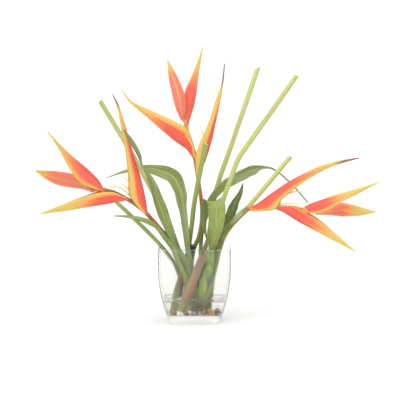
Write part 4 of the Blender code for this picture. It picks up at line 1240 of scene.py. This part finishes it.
# Each bract's red: how far along it ends, how golden its keel's edge is, how green the line along
# the keel is and how much painted light lies over the red, how dry its tip is, and how far across
# its gold lip begins
BRACT_DYES = {
    "bract_left_1": (0.66, 0.0, 0.0, 1.0, 0.7),
    "bract_left_2": (0.56, 0.4, 0.0, 0.0, 0.84),
    "bract_left_3": (0.62, 0.1, 0.2, 0.0, 0.82),
    "bract_left_4": (0.76, 0.2, 1.0, 0.0, 0.86),
    "bract_centre_1": (0.64, 0.0, 0.0, 1.0, 0.54),
    "bract_centre_2": (0.54, 0.6, 0.0, 0.0, 0.8),
    "bract_centre_3": (0.7, 0.1, 1.0, 0.0, 0.88),
    "bract_centre_4": (0.68, 0.2, 0.3, 0.0, 0.92),
    "bract_right_1": (0.58, 0.1, 0.0, 1.0, 0.74),
    "bract_right_2": (0.62, 0.5, 0.0, 0.0, 0.92),
    "bract_right_3": (0.54, 0.4, 0.0, 0.0, 0.84),
    "bract_right_4": (0.54, 0.2, 1.0, 0.0, 0.88),
}
BRACT_NECK = 8.0
# A neck's rings: how near the stem each is, how much they shrink there, and the search's steps
NECK_SHARES = (1.0, 0.7, 0.4, 0.15)
NECK_SHRINK = 0.62
NECK_SEARCH = 400
NECK_STEP = 0.002

# How dark each blade is, from light to dark, and how much painted greyish sheen is on it
LEAF_TONES = {
    "leaf_front": (0.15, 0.3),
    "leaf_arch_left": (0.4, 0.9),
    "leaf_twisted": (0.5, 0.8),
    "leaf_arch_right": (0.4, 0.7),
    "leaf_dark_right": (0.95, 0.2),
    "leaf_low_left": (0.5, 0.8),
    "sheath_left": (1.1, 0.1),
    "sheath_right": (0.5, 0.9),
}
# How red each flower stem is above the vase
RACHIS_BLUSH = {"flower_stem_left": 0.9, "flower_stem_centre": 0.1, "flower_stem_right": 0.35}
PEBBLE_FLOOR = 16.3
ROOT_X = 15.0
ROOT_REACH = 16.5
# The root mat's solid middle: heights and radii
ROOT_CORE = ((18.5, 7.0), (21.0, 10.0), (25.0, 9.0), (27.0, 5.0))
BULB_SIDES = 48
BULB_STEPS = 60

# Leaf bases round the bulb: start and end along it, the angles of its middle at each end, half
# its spread and its lift off the body. Its front is at 270 degrees and its right side at 0.
BULB_BASES = (
    (0.10, 0.60, 120.0, 150.0, 80.0, 0.6, "green"),
    (0.10, 0.58, 30.0, 40.0, 70.0, 0.8, "green"),
    (0.12, 0.68, 250.0, 262.0, 52.0, 1.6, "green"),
    (0.12, 0.62, 318.0, 344.0, 46.0, 2.2, "green"),
    (0.20, 0.62, 196.0, 206.0, 40.0, 2.6, "green"),
    (0.36, 0.80, 216.0, 212.0, 26.0, 3.2, "dry"),
    (0.14, 0.52, 354.0, 364.0, 24.0, 3.0, "papery"),
)


class HELICONIA_OT_vase(bpy.types.Operator):
    """Builds the clear vase, thick at its base and hollowed a little under its foot"""

    bl_idname = "heliconia.vase"
    bl_label = "Glass vase"

    def execute(self, context):
        shape = context.scene.vase_set
        wall = shape.wall / MM
        base = shape.base / MM
        steps = range(WALL_STEPS + 1)
        heights = [FOOT_ROUND + (VASE_HEIGHT - ROUNDED) * k / WALL_STEPS for k in steps]
        rings = [square_ring(RECESS_HALF - 1.0, RECESS_CORNER, RECESS_DEPTH)]
        rings.append(square_ring(RECESS_HALF, RECESS_CORNER, 0.0))
        rings.append(square_ring(FOOT_HALF - FOOT_ROUND, OUTER_CORNER, 0.0))
        rings += [square_ring(half_width(z), OUTER_CORNER, z) for z in heights]
        rim = (
            (0.0, OUTER_CORNER, 1.0),
            (0.4, OUTER_CORNER, 0.3),
            (1.1, OUTER_CORNER - 1.0, 0.0),
            (wall - 1.1, INNER_CORNER + 1.0, 0.0),
            (wall - 0.3, INNER_CORNER, 0.4),
            (wall, INNER_CORNER, 1.2),
            (wall, INNER_CORNER, 1.4),
        )
        rings += [square_ring(RIM_HALF - a, corner, VASE_HEIGHT - b) for a, corner, b in rim]
        low = base + PLAIN_MARGIN
        inner = [z for z in reversed(heights) if low <= z <= VASE_HEIGHT - PLAIN_MARGIN]
        rings += [square_ring(half_width(z) - wall, INNER_CORNER, z) for z in inner]
        rings += floor_rings(base, wall)
        mesh = loft("glass_vase_clear", rings)
        finish = pressed_glass(shape.tint)
        clear = finish_piece("glass_vase_clear", mesh, finish, "glass_vase", "glass_vase")
        clear.visible_shadow = False
        return {"FINISHED"}


class HELICONIA_OT_water(bpy.types.Operator):
    """Builds the water, whose edge creeps up the glass"""

    bl_idname = "heliconia.water"
    bl_label = "Water"

    def execute(self, context):
        shape = context.scene.water_set
        vase = context.scene.vase_set
        wall = vase.wall / MM + WATER_GAP
        base = vase.base / MM + WATER_GAP
        level = shape.level / MM
        creep = shape.creep / MM
        rings = floor_rings(base, wall)[::-1]
        low = base + PLAIN_MARGIN
        tall = level + creep - base - PLAIN_MARGIN
        heights = [low + tall * k / WATER_STEPS for k in range(WATER_STEPS + 1)]
        rings += [square_ring(half_width(z) - wall, INNER_CORNER, z) for z in heights]
        edge = half_width(level) - wall
        for inset in EDGE_INSETS:
            rise = creep * math.exp(-inset / CREEP_WIDTH)
            rings.append(square_ring(edge - inset, INNER_CORNER, level + rise))
        mesh = loft("water_still", rings)
        clear = finish_piece("water_still", mesh, still_water(shape.tint), "water", "water")
        clear.visible_shadow = False
        return {"FINISHED"}


class HELICONIA_OT_pebbles(bpy.types.Operator):
    """Builds each water-worn pebble on the vase's floor"""

    bl_idname = "heliconia.pebbles"
    bl_label = "Pebbles"

    def execute(self, context):
        for name, (place, half, turn, *codes) in PEBBLES.items():
            mesh = self.worn_stone(name, place, half, turn)
            finish = river_stone(name.removeprefix("pebble_"), *codes)
            finish_piece(name + "_worn", mesh, finish, "pebble", name)
        return {"FINISHED"}

    def worn_stone(self, name, place, half, turn):
        """A ball pressed to its three sizes, with a seeded unevenness."""
        bm = bmesh.new()
        bmesh.ops.create_icosphere(bm, subdivisions=STONE_FINENESS, radius=1.0)
        draw = random.Random(name)
        worn = []
        for _ in range(4):
            way = Vector([draw.uniform(-1, 1) for _ in range(3)]).normalized()
            worn.append((way, draw.uniform(0, STONE_WEAR)))
        angle = math.radians(turn)
        for vertex in bm.verts:
            way = vertex.co.normalized()
            reach = 1 - sum(depth * max(0.0, way.dot(axis)) ** 3 for axis, depth in worn)
            grain = noise.noise(way * STONE_GRAIN + Vector((place[0], place[1], 0)))
            reach *= STONE_REACH + STONE_UNEVEN * grain
            x = way.x * reach * half[0]
            y = way.y * reach * half[1]
            across = x * math.cos(angle) - y * math.sin(angle)
            along_y = x * math.sin(angle) + y * math.cos(angle)
            height = way.z * reach * half[2]
            vertex.co = Vector((place[0] + across, place[1] + along_y, height))
        lift = PEBBLE_FLOOR + place[2] - min(vertex.co.z for vertex in bm.verts)
        for vertex in bm.verts:
            vertex.co = (vertex.co + Vector((0, 0, lift))) * MM
        return turned_to_mesh(bm, name)


class HELICONIA_OT_stalks(bpy.types.Operator):
    """Builds the two thick old stalks, cut aslant"""

    bl_idname = "heliconia.stalks"
    bl_label = "Thick stalks"

    def execute(self, context):
        shades = context.scene.bulb_set
        front = thick_stalk(
            "stalk_front_bark", shades.bark, linear("#93A054"), linear("#7A4E38"), 0.02, 0.0
        )
        back = thick_stalk(
            "stalk_back_bark", linear("#86693C"), linear("#8FA45C"), linear("#3F3A2E"), 0.16, 1.0
        )
        cases = (
            ("stalk_front", STALK_FRONT, front, 0.1, 1.15, (0.24, 0.55, 0.8)),
            ("stalk_back", STALK_BACK, back, 0.0, -0.2, (0.3, 0.5, 0.72)),
        )
        for name, (points, radii), finish, start, end, knots in cases:
            path = route(*points)
            trace = traced(path, radii, STALK_STEPS, knots, STALK_SWELL)
            mesh = sweep(name, [trace], STALK_SIDES, finish, STALK_RIDGE, STALK_RIDGES)
            trim_ends(mesh, path, start, end)
            mark_all(mesh, tint=start)
            finish_piece(name + "_cut", mesh, None, "stalk", name)
        return {"FINISHED"}


class HELICONIA_OT_bulb(bpy.types.Operator):
    """Builds the bulb's body and the leaf bases that overlap round it"""

    bl_idname = "heliconia.bulb"
    bl_label = "Leaf bulb"

    def execute(self, context):
        shades = context.scene.bulb_set
        finishes = {
            "green": leaf_base("bulb_leaf_base", shades.green, shades.streak, linear("#42572C")),
            "dry": leaf_base("dry_sheath", shades.dry, linear("#5B4029"), linear("#3E2C1D")),
            "papery": leaf_base("papery_sheath", linear("#B5803E"), shades.streak, shades.dry),
        }
        path = route(*BULB_ROUTE)
        trace = traced(path, BULB_RADII, BULB_STEPS)
        body = mark_all(sweep("leaf_bulb", [trace], BULB_SIDES, bulb_heart(shades)), tint=0.3)
        finish_piece("bulb_body", body, None, "bulb", "leaf_bulb")
        for k, (start, end, low, high, spread, lift, kind) in enumerate(BULB_BASES):
            rings = self.base_rings(path, start, end, (low, high), spread, lift)
            marks = {
                "along": lambda t, i, a=start, b=end: a + (b - a) * t,
                "across": lambda t, i: across_sheet(BASE_ACROSS, i),
            }
            mesh = mark_all(loft(f"bulb_leaf_base_{k}", rings, marks), tint=0.1 * k)
            finish_piece(f"bulb_leaf_base_{k}", mesh, finishes[kind], "bulb")
        return {"FINISHED"}

    def base_rings(self, path, start, end, middle, spread, lift):
        """Rings of a curved shell that hugs the body and narrows to a point above."""
        rings = []
        for k in range(BASE_RINGS):
            share = k / (BASE_RINGS - 1)
            t = start + (end - start) * share
            centre = along(path, t)
            ahead = heading(path, t)
            right = square_to(Vector((1, 0, 0)), ahead)
            back = ahead.cross(right)
            radius = along(BULB_RADII, t)
            opening = math.radians(spread) * max(BASE_LEAST, 1 - share**BASE_TAPER)
            belly = lift * math.sin(math.pi * min(1.0, 0.12 + share * 0.85))
            outer = []
            inner = []
            for i in range(BASE_ACROSS):
                u = across_sheet(BASE_ACROSS, i)
                angle = math.radians(middle[0] + (middle[1] - middle[0]) * share) + u * opening
                way = right * math.cos(angle) + back * math.sin(angle)
                curl = 0.6 * lift * abs(u) ** 3 * share
                outer.append(centre + way * (radius + belly + curl + BASE_OUT))
                inner.append(centre + way * (radius + belly + curl - BASE_IN))
            rings.append(outer + inner[::-1])
        return rings


class HELICONIA_OT_roots(bpy.types.Operator):
    """Builds the mat of rootlets under the bulb"""

    bl_idname = "heliconia.roots"
    bl_label = "Roots"

    def execute(self, context):
        shades = context.scene.bulb_set
        draw = random.Random(7)
        core = [Vector((ROOT_X, 0.0, height)) for height, _ in ROOT_CORE]
        paths = [traced(core, [radius for _, radius in ROOT_CORE], ROOT_STEPS)]
        for _ in range(shades.rootlets):
            angle = draw.uniform(0, math.tau)
            reach = draw.uniform(0.35, 0.98) * ROOT_REACH
            out = Vector((math.cos(angle), 0.8 * math.sin(angle), 0))
            start = Vector((ROOT_X, 0.0, draw.uniform(21.0, 37.0))) + out * draw.uniform(2.0, 7.0)
            rise = Vector((0, 0, draw.uniform(-1.5, 6.0)))
            bend = Vector((-out.y, out.x, 0)) * draw.uniform(-4.0, 4.0)
            middle = start + out * (reach * 0.35) + rise + bend
            end = Vector((ROOT_X, 0.0, draw.uniform(17.4, 25.0))) + out * reach + bend * 0.5
            path = [start, middle, middle.lerp(end, 0.6) + Vector((0, 0, 1.0)), end]
            thick = draw.uniform(0.5, 1.0)
            paths.append(traced(path, [thick, thick, thick * 0.8, thick * 0.35], ROOTLET_STEPS))
        for k in range(shades.loops):
            angle = math.radians(LOOP_FROM + LOOP_SPREAD * (k + draw.uniform(0, 1)) / shades.loops)
            out = Vector((math.cos(angle), math.sin(angle), 0))
            rise = draw.uniform(LOOP_LEAST, 1.0)
            stray = draw.uniform(0.92, 1.04)
            path = [
                out * (reach * stray) + Vector((ROOT_X, 0, LOOP_FOOT + up * rise))
                for reach, up in LOOP_WAY
            ]
            thick = draw.uniform(0.35, 0.7)
            radii = [thick, thick, thick, thick * 0.8, thick * 0.4]
            paths.append(traced(path, radii, ROOT_STEPS))
        mesh = sweep("bulb_roots", paths, ROOT_SIDES, wet_root(shades.root))
        finish_piece("bulb_rootlets", mesh, None, "root", "bulb_roots")
        return {"FINISHED"}


class HELICONIA_OT_cut_stems(bpy.types.Operator):
    """Builds the bare stems, cut aslant at the top"""

    bl_idname = "heliconia.cut_stems"
    bl_label = "Bare cut stems"

    def execute(self, context):
        shape = context.scene.stem_set
        finish = cut_green_stem(shape)
        for place, (name, (points, (low, high), slant, ripe)) in enumerate(CUT_STEMS.items()):
            path = route(*points, lean=LEANS[name])
            radii = [low, low, (low + high) / 2, high, high]
            trace = traced(path, radii, PATH_STEPS)
            mesh = sweep(name, [trace], shape.sides, finish, shape.ridge, STEM_RIDGES)
            trim_ends(mesh, path, 0.0, slant)
            mark_all(mesh, ripe=ripe, tint=place / len(CUT_STEMS))
            finish_piece(name + "_fresh", mesh, None, "green_stem", name)
        return {"FINISHED"}


class HELICONIA_OT_flower_stems(bpy.types.Operator):
    """Builds each zigzag flower stem and its thin florets"""

    bl_idname = "heliconia.flower_stems"
    bl_label = "Flower stems"

    def execute(self, context):
        shades = context.scene.flower_set
        stem = flower_rachis(shades)
        petal = thin_floret(shades)
        for place, (name, (points, radii, florets)) in enumerate(FLOWER_STEMS.items()):
            tint = place / len(FLOWER_STEMS)
            path = route(*points, lean=LEANS[name])
            trace = traced(path, radii, RACHIS_STEPS, RACHIS_KNOTS, RACHIS_SWELL)
            mesh = sweep(name, [trace], RACHIS_SIDES, stem, RACHIS_RIDGE, RACHIS_RIDGES)
            mark_all(mesh, tint=tint, blush=RACHIS_BLUSH[name])
            finish_piece(name + "_rachis", mesh, None, "flower_stem", name)
            thin = [
                traced(route(*floret, lean=LEANS[name]), FLORET_RADII, FLORET_STEPS)
                for floret in florets
            ]
            mesh = mark_all(sweep(name + "_florets", thin, FLORET_SIDES, petal), tint=tint)
            finish_piece(name + "_florets", mesh, None, "flower_stem")
        return {"FINISHED"}


def past(t, start, reach):
    """How far t is past a start, from 0 to 1 over this reach."""
    return min(1.0, max(0.0, (t - start) / reach))


def bract_rings(keel, lip, widths, rings, tapered=True):
    """Rings of a folded bract: a keel and two walls, whose lips close away from its base."""
    out = []
    normal = None
    for k in range(rings):
        t = k / (rings - 1)
        low = along(keel, t)
        high = along(lip, t)
        fold = high - low
        if fold.length < LEAST_FOLD:
            fold = (fold.normalized() if fold.length > 0.1 else Vector((0, 0, 1))) * LEAST_FOLD
        ahead = (heading(keel, t) + heading(lip, t)).normalized()
        turned = ahead.cross(fold).normalized()
        if normal is not None and turned.dot(normal) < 0:
            turned.negate()
        normal = turned
        width = along(widths, t)
        lips = 1.0 - 0.5 * past(t, *LIPS_CLOSE) * tapered
        solid = past(t, *BRACT_FILLS) * tapered
        floor = max(min(0.5, 1.6 * BRACT_WALL / fold.length), 0.9 * solid)
        narrow = max(0.35, 1.0 - BRACT_WALL / width)
        outer = []
        inner = []
        for i in range(BRACT_SIDE_POINTS):
            u = across_sheet(BRACT_SIDE_POINTS, i)
            rise = abs(u) ** FOLD_POWER
            swell = 1 - (1 - abs(u)) ** 2
            swell *= 1 - (1 - lips) * abs(u) ** 3
            aside = math.copysign(width * swell, u)
            outer.append(low + fold * rise + normal * aside)
            inner.append(low + fold * (rise * (1 - floor) + floor) + normal * aside * narrow)
        out.append(outer + inner[::-1])
    return out


def across_sheet(count, i):
    """Where a ring's point lies across a sheet, from -1 to 1, on its outer or its inner side."""
    step = i if i < count else 2 * count - 1 - i
    return 2 * step / (count - 1) - 1


def sheet_marks(count, widest, fold=False):
    """What the points of a sheet store. A fold's place across is read from its keel."""

    def across(t, i):
        return abs(across_sheet(count, i)) if fold else across_sheet(count, i)

    return {
        "along": lambda t, i: t,
        "across": across,
        "lane": lambda t, i: across(t, i) * widest,
        "inside": lambda t, i: float(i >= count),
    }


class HELICONIA_OT_bracts(bpy.types.Operator):
    """Builds the folded bracts"""

    bl_idname = "heliconia.bracts"
    bl_label = "Bracts"

    def execute(self, context):
        finish = heliconia_bract(context.scene.bract_set)
        for place, (name, (keel, lip, widths)) in enumerate(BRACTS.items()):
            stem = "flower_stem_" + name.split("_")[1]
            low = route(*keel, lean=LEANS[stem])
            high = route(*lip, lean=LEANS[stem])
            rings = bract_rings(low, high, widths, BRACT_RINGS)
            rings = self.neck(stem, rings[0]) + rings
            widest = max((b - a).length for a, b in zip(low, high)) + max(widths)
            marks = sheet_marks(BRACT_SIDE_POINTS, widest, fold=True)
            mesh = loft(name, rings, marks)
            dyes = dict(zip(("fire", "gold", "keeled", "dry", "lip"), BRACT_DYES[name]))
            mark_all(mesh, tint=place / len(BRACTS), **dyes)
            finish_piece(name + "_waxy", mesh, finish, "bract", name)
        return {"FINISHED"}

    def neck(self, stem, ring):
        """Rings that narrow from a bract's base to the stem, a little nearer to its foot."""
        path = route(*FLOWER_STEMS[stem][0], lean=LEANS[stem])
        centre = sum(ring, Vector()) / len(ring)
        steps = [k / NECK_SEARCH for k in range(NECK_SEARCH + 1)]
        near = min(steps, key=lambda t: (along(path, t) - centre).length)
        foot = near
        while (along(path, foot) - along(path, near)).length < BRACT_NECK:
            foot -= NECK_STEP
        goal = along(path, foot)
        rings = []
        for share in NECK_SHARES:
            small = 1 - NECK_SHRINK * share
            middle = centre.lerp(goal, share)
            rings.append([middle + (point - centre) * small for point in ring])
        return rings


def leaf_rings(stations, wave, lean):
    """Rings of a thin blade with a folded rib and waved edges, thickest at the rib."""
    spine = route(*[station[:3] for station in stations], lean=lean)
    widths = [station[3] for station in stations]
    sides = [Vector(station[4]).normalized() for station in stations]
    out = []
    for k in range(LEAF_RINGS):
        t = k / (LEAF_RINGS - 1)
        centre = along(spine, t)
        ahead = heading(spine, t)
        side = square_to(along(sides, t), ahead)
        normal = side.cross(ahead)
        width = along(widths, t)
        wide = past(width, WAVED_HALF, WAVED_HALF)
        ripple = wave * wide * math.sin(LEAF_WAVES * math.tau * t / 2)
        top = []
        bottom = []
        for i in range(LEAF_ACROSS):
            u = across_sheet(LEAF_ACROSS, i)
            lift = LEAF_FOLD * width * abs(u) ** LEAF_FOLD_POWER + ripple * u * abs(u)
            ruffle = math.sin(RUFFLE_TURNS * t + RUFFLE_SKEW * u)
            lift += LEAF_RUFFLE * wide * u * abs(u) * ruffle
            point = centre + side * (width * u) + normal * lift
            thick = LEAF_THICK * (LEAF_PROFILE[0] - LEAF_PROFILE[1] * abs(u))
            top.append(point + normal * (thick / 2))
            bottom.append(point - normal * (thick / 2))
        out.append(top + bottom[::-1])
    return out


class HELICONIA_OT_leaves(bpy.types.Operator):
    """Builds the strap leaves and the sheaths round two of the flower stems"""

    bl_idname = "heliconia.leaves"
    bl_label = "Leaves and sheaths"

    def execute(self, context):
        finish = strap_leaf(context.scene.leaf_set)
        for place, (name, (stations, wave)) in enumerate(LEAVES.items()):
            rings = leaf_rings(stations, wave, LEANS[name])
            widest = max(station[3] for station in stations)
            mesh = loft(name, rings, sheet_marks(LEAF_ACROSS, widest))
            age, bloom = LEAF_TONES[name]
            mark_all(mesh, age=age, bloom=bloom, tint=place / len(LEAVES))
            finish_piece(name + "_blade", mesh, finish, "leaf", name)
        for name, (stem, start, end, away, flare) in SHEATHS.items():
            mesh = self.sheath(name, stem, start, end, away, flare)
            age, bloom = LEAF_TONES[name]
            mark_all(mesh, age=age, bloom=bloom, tint=0.5)
            finish_piece(name + "_wrap", mesh, finish, "leaf", name)
        return {"FINISHED"}

    def sheath(self, name, stem, start, end, away, flare):
        """A folded wrap along a stretch of a flower stem."""
        points, radii, _ = FLOWER_STEMS[stem]
        path = route(*points, lean=LEANS[stem])
        keel = []
        lip = []
        for step in range(SHEATH_SPANS + 1):
            t = start + (end - start) * step / SHEATH_SPANS
            ahead = heading(path, t)
            out = square_to(Vector(away), ahead)
            bulge = flare * math.sin(math.pi * step / SHEATH_SPANS)
            keel.append(along(path, t) + out * (along(radii, t) + SHEATH_WALL_OUT + bulge))
            lip.append(along(path, t) - out)
        widths = [SHEATH_HALF] * (SHEATH_SPANS + 1)
        rings = bract_rings(keel, lip, widths, SHEATH_RINGS, tapered=False)
        return loft(name, rings, sheet_marks(BRACT_SIDE_POINTS, SHEATH_LANES, fold=True))


def studio_floor(shade):
    """Painted studio floor: matt and nearly white, with the faintest mottle of a roller."""
    made, node = new_material("painted_studio_floor")
    mottle = node("noise", node("places")["Object"], 3.0, 2.0)
    paint = node("mix", node("times", mottle, 0.03), shade, (1.0, 1.0, 1.0))
    return surfaced(made, {"Base Color": paint, "Roughness": 0.9, "Specular IOR Level": 0.1})


class HELICONIA_OT_stage(bpy.types.Operator):
    """Sets the floor, the soft studio light and the camera"""

    bl_idname = "heliconia.stage"
    bl_label = "Studio"

    def execute(self, context):
        scene = context.scene
        shape = scene.stage_set
        mesh = bpy.data.meshes.new("studio_floor")
        ways = ((-1, -1), (1, -1), (1, 1), (-1, 1))
        corners = [Vector((x * FLOOR_REACH, y * FLOOR_REACH, -FLOOR_DROP)) for x, y in ways]
        mesh.from_pydata(corners, [], [(0, 1, 2, 3)])
        mesh.materials.append(studio_floor(shape.floor))
        floor = placed("studio_floor", mesh)
        self.light_room(scene, shape)
        lamp = bpy.data.lights.new("key_light", "SUN")
        lamp.energy = shape.key
        lamp.angle = math.radians(KEY_WIDTH)
        placed("key_light", lamp).rotation_euler = [math.radians(turn) for turn in KEY_TURN]
        lens = bpy.data.cameras.new("front_camera")
        lens.lens = VIEW_LENS
        lens.sensor_width = VIEW_SENSOR
        lens.clip_end = 100.0
        eye = placed("front_camera", lens)
        back = Vector((0, -math.cos(VIEW_TILT), math.sin(VIEW_TILT))) * (VIEW_DISTANCE * MM)
        eye.location = VIEW_AIM * MM + back
        eye.rotation_euler = (math.pi / 2 - VIEW_TILT, 0, 0)
        scene.camera = eye
        scene.view_settings.view_transform = "Standard"
        return {"FINISHED"}

    def light_room(self, scene, shape):
        """A white room, a little darker low at the sides, so that clear glass shows its edges."""
        world = bpy.data.worlds.new("white_room")
        scene.world = world
        world.use_nodes = True
        node = partial(add, world.node_tree)
        apart = node("apart", node("places")["Generated"])
        shade = node("ramp", node("size", apart[0]), [(0.5, 1.0), (0.8, 0.65), (1.0, 0.55)])
        front = node("times", apart[1], -1.0)
        front = node("ramp", front, [(0.5, 1.0), (0.85, 0.3), (1.0, 0.2)])
        shade = node("times", shade, front)
        high = node("ramp", apart[2], [(0.2, 0.0), (0.5, 1.0)])
        shade = node("mix", high, shade, (1.0, 1.0, 1.0))
        straight = node("light_path")["Is Camera Ray"]
        shade = node("mix", straight, shade, (1.12, 1.12, 1.12))
        plug(world.node_tree.nodes["Background"], {"Color": shade, "Strength": shape.sky})


OPERATORS = (
    HELICONIA_OT_vase,
    HELICONIA_OT_water,
    HELICONIA_OT_pebbles,
    HELICONIA_OT_stalks,
    HELICONIA_OT_bulb,
    HELICONIA_OT_roots,
    HELICONIA_OT_cut_stems,
    HELICONIA_OT_flower_stems,
    HELICONIA_OT_bracts,
    HELICONIA_OT_leaves,
    HELICONIA_OT_stage,
)


class HELICONIA_PT_panel(bpy.types.Panel):
    """Lists the sizes, the colours and the pieces."""

    bl_label = "Heliconia stems in a vase"
    bl_idname = "HELICONIA_PT_panel"
    bl_space_type = "VIEW_3D"
    bl_region_type = "UI"
    bl_category = "Heliconia"

    def draw(self, context):
        for group, kind in SETTINGS:
            box = self.layout.box()
            box.label(text=kind.__doc__)
            for key in kind.__annotations__:
                box.prop(getattr(context.scene, group), key)
        for operator in OPERATORS:
            self.layout.operator(operator.bl_idname)


def register():
    """Adds the settings, the operators and the panel."""
    for name, kind in SETTINGS:
        bpy.utils.register_class(kind)
        setattr(bpy.types.Scene, name, PointerProperty(type=kind))
    for kind in (*OPERATORS, HELICONIA_PT_panel):
        bpy.utils.register_class(kind)


def unregister():
    """Takes away what register adds."""
    for kind in reversed((*OPERATORS, HELICONIA_PT_panel)):
        bpy.utils.unregister_class(kind)
    for name, kind in reversed(SETTINGS):
        delattr(bpy.types.Scene, name)
        bpy.utils.unregister_class(kind)


def main():
    """Builds every piece."""
    register()
    for operator in OPERATORS:
        group, name = operator.bl_idname.split(".")
        done = getattr(getattr(bpy.ops, group), name)()
        if done != {"FINISHED"}:
            raise RuntimeError(f"{operator.bl_idname} gave {done}")


if __name__ == "__main__":
    main()
